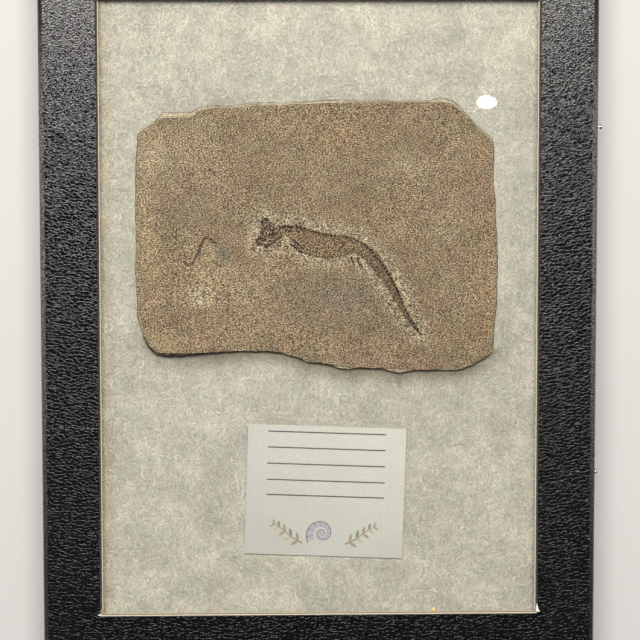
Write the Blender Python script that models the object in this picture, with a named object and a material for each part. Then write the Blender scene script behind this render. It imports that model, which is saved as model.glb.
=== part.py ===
# Fossil branchiosaur on a stone slab, held against the glass of a flat specimen case.
# The case lies on its back: +Z out of the glass, +Y to the top of the case, +X to its right.
# The origin is the middle of the case's back. Lengths and places below are in millimetres.

import math
import random

import bpy
from mathutils import Vector, noise
from mathutils.geometry import delaunay_2d_cdt

MM = 0.001
GAP = 0.3  # air kept between pieces that touch

# Case
CASE_WIDTH = 158.75
CASE_LENGTH = 209.55
CASE_HEIGHT = 19.05
BOARD = 1.6  # thickness of the paper-covered board
BORDER = 16.4  # board showing round the window
LID_EDGE_ROUND = 1.7
LID_EDGE_STEPS = 4
LID_LIFT = 0.6  # the lid's walls stop this far above the tray's back
GLASS_THICKNESS = 2.0
GLASS_ARRIS = 0.25
TRAY_FOOT_ROUND = 0.5
CORNER_POINTS = 4  # straight steps round each corner
LID_CORNER = 1.2
WALL_CORNER = 0.6  # inside corners of the lid and the tray
WINDOW_CORNER = 0.3
TRAY_CORNER = 0.8  # outside corners of the tray and the glass
WINDOW_SKEW = 0.35  # the window's lower edge runs uphill to the right

LID_WALL_IN_X = CASE_WIDTH / 2 - BOARD
LID_WALL_IN_Y = CASE_LENGTH / 2 - BOARD
TRAY_X = LID_WALL_IN_X - GAP
TRAY_Y = LID_WALL_IN_Y - GAP
LID_CEILING = CASE_HEIGHT - BOARD
GLASS_TOP = LID_CEILING - GAP
GLASS_UNDER = GLASS_TOP - GLASS_THICKNESS
TRAY_RIM = GLASS_UNDER - GAP
WINDOW_X = CASE_WIDTH / 2 - BORDER
WINDOW_Y = CASE_LENGTH / 2 - BORDER

# Batting
BATTING_TOP = 14.6
BATTING_CORNER = 2.5
BATTING_EDGE_ROUND = 1.4
BATTING_EDGE_DROP = 0.4
POCKET_MARGIN = 0.35
POCKET_DIP = 3.2  # how far the batting falls away round the slab
POCKET_DIP_DEPTH = 1.9

# Label card
CARD_WIDTH = 45.7
CARD_LENGTH = 37.7
CARD_THICKNESS = 0.3
CARD_CORNER = 0.2
CARD_TOP = GLASS_UNDER - GAP
CARD_MIDDLE = (1.9, -52.9)
CARD_TURN = math.radians(-1.95)

# Pins, each with its side, its place along the case and how far its head stands off the wall
PIN_HEIGHT = 9.5
PIN_SHANK = 0.35
PIN_HEAD = 0.8
PIN_HEAD_THICKNESS = 0.6
PIN_HEAD_ROUND = 0.25
PIN_LENGTH = 13.0
PIN_POINT = 1.6
PIN_POINT_END = 0.06
PIN_SIDES = 12
PINS = {
    "pin_right_upper": (1, 52.0, 2.4),
    "pin_right_lower": (1, -48.0, 1.8),
    "pin_left_upper": (-1, 50.0, 1.2),
    "pin_left_lower": (-1, -50.0, 1.2),
}

# Slab: the top face's edge, clockwise from the upper left corner. Each point is x, y, how far the
# layer below it stands out as a ledge, and how far the broken side leans out at the bottom.
SLAB_TOP = 14.3
SLAB_BOTTOM = 6.6
SLAB_EDGE = [
    (-51.5, 49.6, 0.1, 0.3), (-45.6, 53.9, 0.4, 0.0), (-44.4, 54.1, 1.8, 0.0), (-35.9, 54.3, 1.6, 0.0),
    (-34.6, 56.2, 0.7, 0.0), (-32.1, 56.8, 1.0, 0.0), (-22.4, 57.3, 0.8, 0.0), (-17.4, 57.6, 1.2, 0.0),
    (-12.4, 57.9, 0.7, 0.0), (3.3, 58.6, 0.8, 0.0), (20.0, 58.8, 0.4, 0.0), (32.3, 58.6, 0.8, 0.0),
    (35.0, 58.9, 1.4, 0.0), (38.6, 58.0, 0.9, 0.0), (41.0, 56.2, 0.4, 0.0), (45.6, 51.0, 0.5, 0.2),
    (49.6, 47.6, 0.7, 0.3), (50.0, 44.6, 0.1, 0.3), (49.9, 36.9, 0.1, 0.3), (50.6, 31.2, 0.1, 0.2),
    (51.3, 14.1, 0.1, 0.2), (51.1, 1.2, 0.1, 0.2), (50.4, -5.9, 0.1, 0.3), (50.2, -12.8, 0.1, 0.6),
    (44.4, -16.2, 0.0, 1.1), (41.4, -17.1, 0.0, 1.0), (33.0, -17.6, 0.0, 0.8), (24.0, -17.8, 0.0, 1.4),
    (18.4, -17.3, 0.0, 1.1), (10.1, -17.1, 0.0, 0.9), (5.4, -16.6, 0.0, 1.4), (-2.0, -15.5, 0.0, 1.2),
    (-4.4, -14.6, 0.0, 1.5), (-9.9, -12.9, 0.0, 0.9), (-14.2, -12.2, 0.0, 0.5), (-21.4, -12.2, 0.0, 0.7),
    (-32.1, -12.7, 0.0, 1.2), (-37.6, -12.9, 0.0, 1.9), (-42.2, -12.9, 0.0, 2.7), (-46.4, -12.6, 0.0, 2.0),
    (-48.7, -10.6, 0.0, 1.7), (-50.1, -8.6, 0.0, 1.1), (-50.7, -6.3, 0.0, 0.6), (-52.0, -2.3, 0.0, 0.5),
    (-52.2, 4.9, 0.0, 0.4), (-52.4, 29.8, 0.0, 0.3), (-52.1, 38.4, 0.1, 0.3),
]
# Layers of the stone: height of each layer's foot, share of the ledge it has, roughness of its break
SLAB_LAYERS = [(13.55, 0.04, 0.05), (12.7, 0.8, 0.14), (11.3, 1.0, 0.22), (9.2, 0.8, 0.3), (6.6, 0.5, 0.3)]
SLAB_EDGE_STEP = 3.6
SLAB_EDGE_JITTER = 0.12
SLAB_FOOT_INSET = 0.7

# Fossil, on the top face. The spine runs from the skull to the tail's tip: x, y, then how far
# the body reaches on its back side and on its belly side.
SPINE = [
    (-11.8, 22.9, 0.6, 1.2), (-9.2, 23.3, 0.6, 2.6), (-5.7, 23.0, 0.6, 5.6), (-2.0, 21.9, 0.6, 6.7),
    (1.6, 20.8, 0.6, 6.6), (5.3, 20.2, 0.6, 6.0), (9.0, 19.7, 0.6, 4.6), (11.6, 18.6, 0.7, 3.2),
    (13.9, 16.9, 0.7, 2.7), (16.8, 13.8, 0.7, 2.7), (19.3, 10.6, 0.7, 2.5), (22.1, 6.0, 0.6, 2.1),
    (24.5, 0.5, 0.5, 1.6), (26.9, -3.9, 0.4, 1.1), (29.4, -7.4, 0.2, 0.2),
]
SPINE_STEPS = 6  # points of the smooth curve between two listed ones
VERTEBRA_PITCH = 1.12
VERTEBRA_RADIUS = 0.52
VERTEBRA_TAPER = 0.45  # share of its radius that a vertebra has lost at the tail's tip
VERTEBRA_RISE = 0.26
FILM_RISE = 0.2  # flattened body
BODY_ROUGH = 0.07  # lumps over the whole animal
SKULL = [
    (-18.0, 18.4), (-17.4, 20.2), (-16.6, 21.9), (-16.6, 24.4), (-16.1, 25.7), (-15.3, 26.1),
    (-14.4, 25.8), (-13.0, 24.1), (-10.9, 21.9), (-9.6, 21.0), (-10.5, 20.0), (-13.4, 18.4),
    (-14.8, 17.0), (-15.8, 17.9),
]
SKULL_RISE = 0.3
ORBIT = (-14.4, 22.3, 0.85)  # eye opening: x, y, radius
ORBIT_DEPTH = 0.34
# Limb bones and jaw, each a thin ridge: x, y of one end, x, y of the other
BONES = [
    (-6.9, 19.5, -4.5, 17.3), (-7.9, 18.4, -4.9, 16.1), (9.4, 14.8, 9.9, 13.2), (11.2, 14.4, 11.6, 12.8),
    (11.6, 12.8, 12.7, 11.9), (-15.4, 18.3, -12.4, 19.0), (-12.4, 19.0, -10.0, 20.4),
]
BONE_RADIUS = 0.36
BONE_RISE = 0.24
# Second, fainter trace to the left, a low curved ridge
TRACE = [
    (-38.4, 13.5), (-37.2, 12.4), (-36.0, 13.1), (-34.7, 15.7), (-33.7, 17.9), (-33.0, 19.5),
    (-32.0, 20.3), (-30.6, 19.7), (-29.4, 18.7),
]
TRACE_RADIUS = 0.45
TRACE_RISE = 0.22
HALO_REACH = 3.6  # width of the ground cleared round the animal
HALO_DEPTH = 0.14
SCRAPE = (-31.0, 5.0, 7.5, 5.0)  # rough patch below the trace: x, y, half sizes
SCRAPE_DEPTH = 0.32
GROUND_SWELL = 0.1
POINT_STEPS = (0.66, 1.6, 4.8)  # mesh spacing on the fossil, beside it and elsewhere
POINT_ZONES = (1.1, HALO_REACH + 1.5, 200.0)  # distance from the animal that each spacing reaches
FORM_SPACE = 0.28  # least distance between two points on a small form


def clear_scene():
    for old in list(bpy.data.objects):
        bpy.data.objects.remove(old)


def make_material(name, colour, roughness, metallic=0.0):
    material = bpy.data.materials.new(name)
    material.use_nodes = True
    shader = material.node_tree.nodes["Principled BSDF"]
    shader.inputs["Base Color"].default_value = (*colour, 1.0)
    shader.inputs["Roughness"].default_value = roughness
    shader.inputs["Metallic"].default_value = metallic
    material.diffuse_color = (*colour, 1.0)
    return material


def make_object(name, points, faces, material=None):
    mesh = bpy.data.meshes.new(name)
    mesh.from_pydata([(x * MM, y * MM, z * MM) for x, y, z in points], [], faces)
    mesh.update()
    if material:
        mesh.materials.append(material)
    piece = bpy.data.objects.new(name, mesh)
    bpy.context.collection.objects.link(piece)
    return piece


def cut(piece, cutter):
    """Take the cutter's shape out of the piece, and keep the cutter as a guide only."""
    cutter.hide_render = True
    cutter.display_type = "WIRE"
    step = piece.modifiers.new("cut_" + cutter.name, "BOOLEAN")
    step.operation = "DIFFERENCE"
    step.solver = "EXACT"
    step.object = cutter


# Rings and lofts

def rounded_ring(half_x, half_y, radius, z, skew=0.0):
    """Rectangle with round corners, counter-clockwise. The skew tilts its lower edge."""
    ring = []
    for corner, (sx, sy) in enumerate([(1, 1), (-1, 1), (-1, -1), (1, -1)]):
        for step in range(CORNER_POINTS + 1):
            angle = math.radians(90 * corner + 90 * step / CORNER_POINTS)
            x = sx * (half_x - radius) + radius * math.cos(angle)
            y = sy * (half_y - radius) + radius * math.sin(angle)
            lift = skew * x / half_x if sy < 0 else 0.0
            ring.append((x, y + lift, z))
    return ring


def loft(rings, closed=False):
    """Faces between rings of equal length. An open loft gets a cap at each end."""
    count = len(rings[0])
    points = [point for ring in rings for point in ring]
    faces = []
    for level in range(len(rings) if closed else len(rings) - 1):
        low = level * count
        high = (level + 1) % len(rings) * count
        for i in range(count):
            j = (i + 1) % count
            faces.append((low + i, low + j, high + j, high + i))
    if not closed:
        faces.append(tuple(reversed(range(count))))
        faces.append(tuple(range(len(points) - count, len(points))))
    return points, faces


# Case

def make_lid(board):
    rings = [rounded_ring(CASE_WIDTH / 2, CASE_LENGTH / 2, LID_CORNER, LID_LIFT)]
    for step in range(LID_EDGE_STEPS + 1):
        angle = math.radians(90 * step / LID_EDGE_STEPS)
        inset = LID_EDGE_ROUND * (1 - math.cos(angle))
        z = CASE_HEIGHT - LID_EDGE_ROUND * (1 - math.sin(angle))
        rings.append(rounded_ring(CASE_WIDTH / 2 - inset, CASE_LENGTH / 2 - inset, LID_CORNER, z))
    for z in (CASE_HEIGHT, LID_CEILING):
        rings.append(rounded_ring(WINDOW_X, WINDOW_Y, WINDOW_CORNER, z, WINDOW_SKEW))
    for z in (LID_CEILING, LID_LIFT):
        rings.append(rounded_ring(LID_WALL_IN_X, LID_WALL_IN_Y, WALL_CORNER, z))
    points, faces = loft(rings, closed=True)
    return make_object("lid", points, faces, board)


def make_glass(glass):
    levels = [
        (GLASS_UNDER, GLASS_ARRIS), (GLASS_UNDER + GLASS_ARRIS, 0.0),
        (GLASS_TOP - GLASS_ARRIS, 0.0), (GLASS_TOP, GLASS_ARRIS),
    ]
    points, faces = loft([rounded_ring(TRAY_X - i, TRAY_Y - i, TRAY_CORNER, z) for z, i in levels])
    return make_object("glass", points, faces, glass)


def make_tray(board):
    outside = [(0.0, TRAY_FOOT_ROUND), (TRAY_FOOT_ROUND, 0.0), (TRAY_RIM, 0.0)]
    rings = [rounded_ring(TRAY_X - i, TRAY_Y - i, TRAY_CORNER, z) for z, i in outside]
    for z in (TRAY_RIM, BOARD):
        rings.append(rounded_ring(TRAY_X - BOARD, TRAY_Y - BOARD, WALL_CORNER, z))
    points, faces = loft(rings)
    return make_object("tray", points, faces, board)


def make_card(paper):
    """The label card, and the guide shape that cuts its recess in the batting."""
    turn_cos, turn_sin = math.cos(CARD_TURN), math.sin(CARD_TURN)

    def turned(ring):
        return [
            (CARD_MIDDLE[0] + x * turn_cos - y * turn_sin, CARD_MIDDLE[1] + x * turn_sin + y * turn_cos, z)
            for x, y, z in ring
        ]

    def card_ring(margin, z):
        half_x, half_y = CARD_WIDTH / 2 + margin, CARD_LENGTH / 2 + margin
        return turned(rounded_ring(half_x, half_y, CARD_CORNER, z))

    under = CARD_TOP - CARD_THICKNESS
    points, faces = loft([card_ring(0.0, under), card_ring(0.0, CARD_TOP)])
    make_object("label_card", points, faces, paper)
    recess = [card_ring(POCKET_MARGIN, under - GAP), card_ring(POCKET_MARGIN, CASE_HEIGHT)]
    points, faces = loft(recess)
    return make_object("card_recess", points, faces)


# Pins

def pin_loft(profile, side, y):
    """Turned shape along X: a distance from the case's middle and a radius for each ring."""
    angles = [2 * math.pi * i / PIN_SIDES for i in range(PIN_SIDES)]
    rings = []
    for x, radius in profile:
        ring = [(side * x, y + radius * math.cos(a), PIN_HEIGHT + radius * math.sin(a)) for a in angles]
        rings.append(ring if side > 0 else ring[::-1])
    return loft(rings)


def make_pin(name, side, y, stand_off, steel):
    """A flat-headed steel pin pushed through both walls, its point in the batting."""
    wall = CASE_WIDTH / 2
    tip = wall + stand_off
    neck = tip - PIN_HEAD_THICKNESS
    end = neck - PIN_LENGTH
    profile = [
        (end, PIN_POINT_END), (end + PIN_POINT, PIN_SHANK), (neck, PIN_SHANK), (neck, PIN_HEAD),
        (tip - PIN_HEAD_ROUND, PIN_HEAD), (tip, PIN_HEAD - PIN_HEAD_ROUND),
    ]
    points, faces = pin_loft(profile, side, y)
    pin = make_object(name, points, faces, steel)
    pin.data.shade_smooth()
    pin.data.set_sharp_from_angle(angle=math.radians(40))
    bore = PIN_SHANK + GAP
    points, faces = pin_loft([(end - GAP, bore), (wall + GAP, bore)], side, y)
    return make_object(name + "_hole", points, faces)


# Slab

def smoothstep(low, high, value):
    t = min(1.0, max(0.0, (value - low) / (high - low)))
    return t * t * (3 - 2 * t)


def smooth_curve(points, steps):
    """Catmull-Rom curve through the listed points. Each may hold more than x and y."""
    curve = []
    for i in range(len(points) - 1):
        four = [points[max(0, i - 1)], points[i], points[i + 1], points[min(len(points) - 1, i + 2)]]
        for step in range(steps):
            t = step / steps
            weights = (
                (-t + 2 * t * t - t ** 3) / 2, (2 - 5 * t * t + 3 * t ** 3) / 2,
                (t + 4 * t * t - 3 * t ** 3) / 2, (t ** 3 - t * t) / 2,
            )
            curve.append(tuple(sum(w * p[k] for w, p in zip(weights, four)) for k in range(len(four[0]))))
    curve.append(tuple(points[-1]))
    return curve


def along(curve):
    """Length along the curve at each of its points."""
    lengths = [0.0]
    for a, b in zip(curve, curve[1:]):
        lengths.append(lengths[-1] + math.hypot(b[0] - a[0], b[1] - a[1]))
    return lengths


SPINE_CURVE = smooth_curve(SPINE, SPINE_STEPS)
SPINE_LENGTHS = along(SPINE_CURVE)
TRACE_CURVE = smooth_curve(TRACE, 3)


def nearest_on(curve, x, y):
    """Distance to the curve, the nearest segment, the share along it and the side (left is positive)."""
    best = (1e9, 0, 0.0, 1.0)
    for i, (a, b) in enumerate(zip(curve, curve[1:])):
        dx, dy = b[0] - a[0], b[1] - a[1]
        t = ((x - a[0]) * dx + (y - a[1]) * dy) / (dx * dx + dy * dy)
        t = min(1.0, max(0.0, t))
        ox, oy = x - a[0] - t * dx, y - a[1] - t * dy
        distance = math.hypot(ox, oy)
        if distance < best[0]:
            best = (distance, i, t, 1.0 if dx * oy - dy * ox >= 0 else -1.0)
    return best


def inside_polygon(outline, x, y):
    inside = False
    for a, b in zip(outline, outline[1:] + outline[:1]):
        if (a[1] > y) != (b[1] > y) and x < a[0] + (y - a[1]) / (b[1] - a[1]) * (b[0] - a[0]):
            inside = not inside
    return inside


def edge_distance(outline, x, y):
    """Distance to a closed outline, negative inside."""
    distance = nearest_on(outline + outline[:1], x, y)[0]
    return -distance if inside_polygon(outline, x, y) else distance


def body_distance(x, y):
    """Distance to the flattened body's edge, negative inside, and the place along the spine."""
    distance, i, t, side = nearest_on(SPINE_CURVE, x, y)
    a, b = SPINE_CURVE[i], SPINE_CURVE[i + 1]
    reach_column = 2 if side > 0 else 3
    reach = a[reach_column] + t * (b[reach_column] - a[reach_column])
    place = SPINE_LENGTHS[i] + t * (SPINE_LENGTHS[i + 1] - SPINE_LENGTHS[i])
    return distance - reach, place, distance


def relief(x, y):
    """Height of the top face above SLAB_TOP."""
    body, place, off_spine = body_distance(x, y)
    skull = edge_distance(SKULL, x, y)
    animal = min(body, skull)
    height = GROUND_SWELL * noise.noise(Vector((x * 0.06, y * 0.06, 3.1)))
    height -= HALO_DEPTH * smoothstep(HALO_REACH, 0.4, animal)
    height += FILM_RISE * smoothstep(0.3, -0.5, body)
    tail_share = place / SPINE_LENGTHS[-1]
    radius = VERTEBRA_RADIUS * (1 - VERTEBRA_TAPER * tail_share)
    beat = place - VERTEBRA_PITCH * round(place / VERTEBRA_PITCH)
    dome = 1 - (beat * beat + off_spine * off_spine) / (radius * radius)
    height += VERTEBRA_RISE * max(0.0, dome)
    height += SKULL_RISE * smoothstep(0.1, -0.6, skull)
    lump = noise.noise(Vector((x * 1.1, y * 1.1, 5.9)))
    height += BODY_ROUGH * lump * smoothstep(0.2, -0.5, animal)
    orbit = math.hypot(x - ORBIT[0], y - ORBIT[1])
    height -= ORBIT_DEPTH * smoothstep(ORBIT[2], ORBIT[2] * 0.4, orbit)
    bone = min(nearest_on([end[:2], end[2:]], x, y)[0] for end in BONES)
    height += BONE_RISE * max(0.0, 1 - bone / BONE_RADIUS)
    trace = nearest_on(TRACE_CURVE, x, y)[0]
    height += TRACE_RISE * max(0.0, 1 - trace / TRACE_RADIUS)
    scrape = math.hypot((x - SCRAPE[0]) / SCRAPE[2], (y - SCRAPE[1]) / SCRAPE[3])
    pitted = 0.5 + 0.5 * noise.noise(Vector((x * 0.5, y * 0.7, 8.7)))
    height -= SCRAPE_DEPTH * pitted * smoothstep(1.1, 0.5, scrape)
    return height


def slab_rim(rng):
    """Edge points of the top face, counter-clockwise, with their ledge, lean, direction and place."""
    rim = []
    edge = SLAB_EDGE[::-1]
    for a, b in zip(edge, edge[1:] + edge[:1]):
        length = math.hypot(b[0] - a[0], b[1] - a[1])
        parts = max(1, math.ceil(length / SLAB_EDGE_STEP))
        for part in range(parts):
            t = part / parts
            point = [u + t * (v - u) for u, v in zip(a, b)]
            if part:
                shift = rng.uniform(-SLAB_EDGE_JITTER, SLAB_EDGE_JITTER)
                point[0] -= shift * (b[1] - a[1]) / length
                point[1] += shift * (b[0] - a[0]) / length
            rim.append(point)
    directed = []
    for i, point in enumerate(rim):
        before, after = rim[i - 1], rim[(i + 1) % len(rim)]
        dx, dy = after[0] - before[0], after[1] - before[1]
        length = math.hypot(dx, dy)
        directed.append((*point, dy / length, -dx / length))
    return directed


def rim_ring(rim, z, ledge_share, rough, layer, inset):
    """The rim moved out to where the stone's side lies at this height."""
    depth = (SLAB_TOP - z) / (SLAB_TOP - SLAB_BOTTOM)
    ring = []
    for x, y, ledge, lean, nx, ny in rim:
        bump = rough * noise.noise(Vector((x * 0.35, y * 0.35, layer * 5.3)))
        out = ledge * ledge_share + lean * depth + bump - inset
        ring.append((x + nx * out, y + ny * out, z))
    return ring


class PointField:
    """Points on the top face, in cells so that near ones are found quickly."""

    def __init__(self):
        self.cells = {}
        self.points = []

    def cell(self, x, y):
        return math.floor(x / POINT_STEPS[0]), math.floor(y / POINT_STEPS[0])

    def free(self, x, y, space):
        reach = math.ceil(space / POINT_STEPS[0])
        column, row = self.cell(x, y)
        for i in range(column - reach, column + reach + 1):
            for j in range(row - reach, row + reach + 1):
                if any(math.hypot(px - x, py - y) < space for px, py in self.cells.get((i, j), ())):
                    return False
        return True

    def add(self, x, y, space):
        if self.free(x, y, space):
            self.cells.setdefault(self.cell(x, y), []).append((x, y))
            self.points.append((x, y))


def add_spine_points(field):
    """A point on each vertebra and six round its foot."""
    for k in range(int(SPINE_LENGTHS[-1] / VERTEBRA_PITCH)):
        goal = k * VERTEBRA_PITCH
        i = max(n for n in range(len(SPINE_LENGTHS) - 1) if SPINE_LENGTHS[n] <= goal)
        a, b = SPINE_CURVE[i], SPINE_CURVE[i + 1]
        t = (goal - SPINE_LENGTHS[i]) / (SPINE_LENGTHS[i + 1] - SPINE_LENGTHS[i])
        x, y = a[0] + t * (b[0] - a[0]), a[1] + t * (b[1] - a[1])
        field.add(x, y, 0.0)
        heading = math.atan2(b[1] - a[1], b[0] - a[0])
        for turn in range(6):
            angle = heading + math.radians(60 * turn)
            foot = VERTEBRA_PITCH / 2
            field.add(x + foot * math.cos(angle), y + foot * math.sin(angle), FORM_SPACE)


def add_ridge_points(field, ridge):
    """Points along a ridge's crest and along both its feet."""
    for a, b in zip(ridge, ridge[1:]):
        size = math.hypot(b[0] - a[0], b[1] - a[1])
        steps = max(1, round(size / POINT_STEPS[0]))
        nx, ny = -(b[1] - a[1]) / size, (b[0] - a[0]) / size
        for step in range(steps + 1):
            x, y = a[0] + (b[0] - a[0]) * step / steps, a[1] + (b[1] - a[1]) * step / steps
            for side in (0, -1, 1):
                field.add(x + side * nx * TRACE_RADIUS, y + side * ny * TRACE_RADIUS, FORM_SPACE)


def add_ground_points(field, outline):
    """Rows of points, close on the fossil and ever wider apart away from it."""
    rng = random.Random(11)
    left, right = min(x for x, y in outline), max(x for x, y in outline)
    low, high = min(y for x, y in outline), max(y for x, y in outline)
    for zone, space in zip(POINT_ZONES, POINT_STEPS):
        pitch = space * math.sqrt(3) / 2
        for row in range(int((high - low) / pitch)):
            for column in range(int((right - left) / space)):
                x = left + (column + row % 2 / 2 + rng.uniform(-0.15, 0.15)) * space
                y = low + row * pitch + rng.uniform(-0.15, 0.15) * space
                animal = min(body_distance(x, y)[0], edge_distance(SKULL, x, y))
                if animal < zone and edge_distance(outline, x, y) < -0.5 * space:
                    field.add(x, y, 0.72 * space)


def top_points(outline):
    """Points inside the top face: the fossil's own forms first, then the ground round them."""
    field = PointField()
    add_spine_points(field)
    for end in BONES:
        add_ridge_points(field, [end[:2], end[2:]])
    add_ridge_points(field, TRACE_CURVE)
    for x, y in SKULL:
        field.add(x, y, FORM_SPACE)
    x, y, radius = ORBIT
    field.add(x, y, FORM_SPACE)
    for turn in range(8):
        angle = math.radians(45 * turn)
        field.add(x + radius * math.cos(angle), y + radius * math.sin(angle), FORM_SPACE)
    add_ground_points(field, outline)
    return field.points


def make_slab(stone):
    rim = slab_rim(random.Random(5))
    count = len(rim)
    outline = [(point[0], point[1]) for point in rim]
    flat = [Vector(p) for p in outline + top_points(outline)]
    edges = [(i, (i + 1) % count) for i in range(count)]
    corners, _, faces, origins, _, _ = delaunay_2d_cdt(flat, edges, [], 1, 1e-6)
    position = {source: i for i, sources in enumerate(origins) for source in sources}
    points = [(v.x, v.y, SLAB_TOP + relief(v.x, v.y)) for v in corners]
    faces = [tuple(face) for face in faces]

    upper = [position[i] for i in range(count)]
    head = SLAB_TOP
    for layer, (foot, ledge_share, rough) in enumerate(SLAB_LAYERS):
        levels = (foot,) if layer == 0 else (head, foot)
        for z in levels:
            inset = SLAB_FOOT_INSET if z == SLAB_BOTTOM else 0.0
            lower = list(range(len(points), len(points) + count))
            points.extend(rim_ring(rim, z, ledge_share, rough, layer, inset))
            for i in range(count):
                j = (i + 1) % count
                faces.append((upper[i], lower[i], lower[j], upper[j]))
            upper = lower
        head = foot
    faces.append(tuple(reversed(upper)))
    make_object("fossil_slab", points, faces, stone)
    return rim


def make_pocket(rim):
    """The hollow that the slab makes in the batting, wider where the batting falls away to it."""
    levels = [
        (SLAB_BOTTOM - GAP, POCKET_MARGIN), (BATTING_TOP - POCKET_DIP_DEPTH, POCKET_MARGIN),
        (BATTING_TOP + GAP, POCKET_MARGIN + POCKET_DIP), (CASE_HEIGHT, POCKET_MARGIN + POCKET_DIP),
    ]
    rings = []
    for z, margin in levels:
        ring = []
        for x, y, ledge, lean, nx, ny in rim:
            out = max(ledge, lean) + margin
            ring.append((x + nx * out, y + ny * out, z))
        rings.append(ring)
    points, faces = loft(rings)
    return make_object("slab_pocket", points, faces)


# Batting

def make_batting(fibre):
    half_x = TRAY_X - BOARD - GAP
    half_y = TRAY_Y - BOARD - GAP
    levels = [
        (BOARD + GAP, BATTING_EDGE_ROUND), (BOARD + GAP + BATTING_EDGE_ROUND, 0.0),
        (BATTING_TOP - BATTING_EDGE_ROUND, 0.0),
        (BATTING_TOP - BATTING_EDGE_DROP, BATTING_EDGE_DROP), (BATTING_TOP, BATTING_EDGE_ROUND),
    ]
    points, faces = loft([rounded_ring(half_x - i, half_y - i, BATTING_CORNER, z) for z, i in levels])
    return make_object("batting", points, faces, fibre)


def main():
    clear_scene()
    board = make_material("black_leatherette", (0.018, 0.017, 0.018), 0.5)
    clear = make_material("window_glass", (0.95, 0.97, 0.96), 0.03)
    fibre = make_material("cream_batting", (0.6, 0.58, 0.47), 0.95)
    stone = make_material("brown_stone", (0.31, 0.23, 0.14), 0.9)
    paper = make_material("white_card", (0.72, 0.7, 0.64), 0.7)
    steel = make_material("pin_steel", (0.72, 0.72, 0.7), 0.25, 1.0)

    lid = make_lid(board)
    tray = make_tray(board)
    make_glass(clear)
    batting = make_batting(fibre)
    rim = make_slab(stone)
    cut(batting, make_pocket(rim))
    cut(batting, make_card(paper))
    for name, (side, y, stand_off) in PINS.items():
        hole = make_pin(name, side, y, stand_off, steel)
        for wall in (lid, tray, batting):
            cut(wall, hole)


main()
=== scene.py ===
import math
import random

import bmesh
import bpy
import numpy as np
from mathutils import Matrix, Vector, noise


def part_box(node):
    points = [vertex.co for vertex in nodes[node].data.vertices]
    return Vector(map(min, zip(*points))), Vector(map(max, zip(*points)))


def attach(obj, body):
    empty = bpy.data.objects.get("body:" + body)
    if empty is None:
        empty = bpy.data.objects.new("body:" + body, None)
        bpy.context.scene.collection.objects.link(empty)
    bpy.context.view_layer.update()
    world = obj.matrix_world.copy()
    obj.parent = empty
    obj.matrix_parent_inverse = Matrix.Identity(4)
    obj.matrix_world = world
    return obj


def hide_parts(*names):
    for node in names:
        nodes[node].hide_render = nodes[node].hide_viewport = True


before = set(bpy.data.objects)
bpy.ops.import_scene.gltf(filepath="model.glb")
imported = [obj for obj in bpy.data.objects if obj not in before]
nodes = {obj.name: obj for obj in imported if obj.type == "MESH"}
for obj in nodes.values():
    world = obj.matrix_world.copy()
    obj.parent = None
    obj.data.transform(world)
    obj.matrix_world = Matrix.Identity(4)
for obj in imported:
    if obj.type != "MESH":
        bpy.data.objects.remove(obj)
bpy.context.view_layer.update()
mm = 0.001


# Small helpers

def deselectAll():
    bpy.ops.object.select_all(action="DESELECT")


def chooseOnly(piece):
    deselectAll()
    piece.select_set(True)
    bpy.context.view_layer.objects.active = piece


def nodeBox(name):
    return [[v / mm for v in corner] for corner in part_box(name)]


def addBox(name, low, high):
    deselectAll()
    bpy.ops.mesh.primitive_cube_add(size=1, location=[(a + b) / 2 * mm for a, b in zip(low, high)])
    piece = bpy.context.object
    piece.name = name
    piece.data.name = name
    piece.scale = [(b - a) * mm for a, b in zip(low, high)]
    bpy.ops.object.transform_apply()
    return piece


def addMesh(name, points, faces, edges=()):
    mesh = bpy.data.meshes.new(name)
    mesh.from_pydata(points, edges, faces)
    piece = bpy.data.objects.new(name, mesh)
    bpy.context.scene.collection.objects.link(piece)
    return piece


def editPiece(piece, mode="FACE"):
    chooseOnly(piece)
    bpy.ops.object.mode_set(mode="EDIT")
    bpy.ops.mesh.select_mode(type=mode)


def leaveEdit():
    bpy.ops.object.mode_set(mode="OBJECT")


# Selects the faces whose centre (in mm) and normal pass the test.
def pickFaces(piece, test):
    bpy.ops.mesh.select_mode(type="FACE")
    bpy.ops.mesh.select_all(action="DESELECT")
    bm = bmesh.from_edit_mesh(piece.data)
    for face in bm.faces:
        if test(face.calc_center_median() / mm, face.normal):
            face.select_set(True)
    bmesh.update_edit_mesh(piece.data)


# Selects the edges whose two ends (in mm) pass the test.
def pickEdges(piece, test, openOnly=False):
    bpy.ops.mesh.select_mode(type="EDGE")
    bpy.ops.mesh.select_all(action="DESELECT")
    bm = bmesh.from_edit_mesh(piece.data)
    for edge in bm.edges:
        wanted = len(edge.link_faces) == 1 or not openOnly
        if wanted and test(edge.verts[0].co / mm, edge.verts[1].co / mm):
            edge.select_set(True)
    bmesh.update_edit_mesh(piece.data)


def roundEdges(width, steps):
    bpy.ops.mesh.bevel(offset=width * mm, segments=steps, affect="EDGES")


def extrudeBy(x, y, z):
    bpy.ops.mesh.extrude_region_move()
    bpy.ops.transform.translate(value=(x * mm, y * mm, z * mm))


# Takes away the flat face at the top (1) or the bottom (-1), and keeps its edges.
def openSide(piece, way):
    pickFaces(piece, lambda c, n: n.z * way > 0.99)
    bpy.ops.mesh.delete(type="ONLY_FACE")


def bridgeOpen(piece, test):
    pickEdges(piece, test, openOnly=True)
    bpy.ops.mesh.bridge_edge_loops()


def flipAll():
    bpy.ops.mesh.select_all(action="SELECT")
    bpy.ops.mesh.flip_normals()


def turnOutward():
    bpy.ops.mesh.select_all(action="SELECT")
    bpy.ops.mesh.normals_make_consistent(inside=False)


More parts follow.
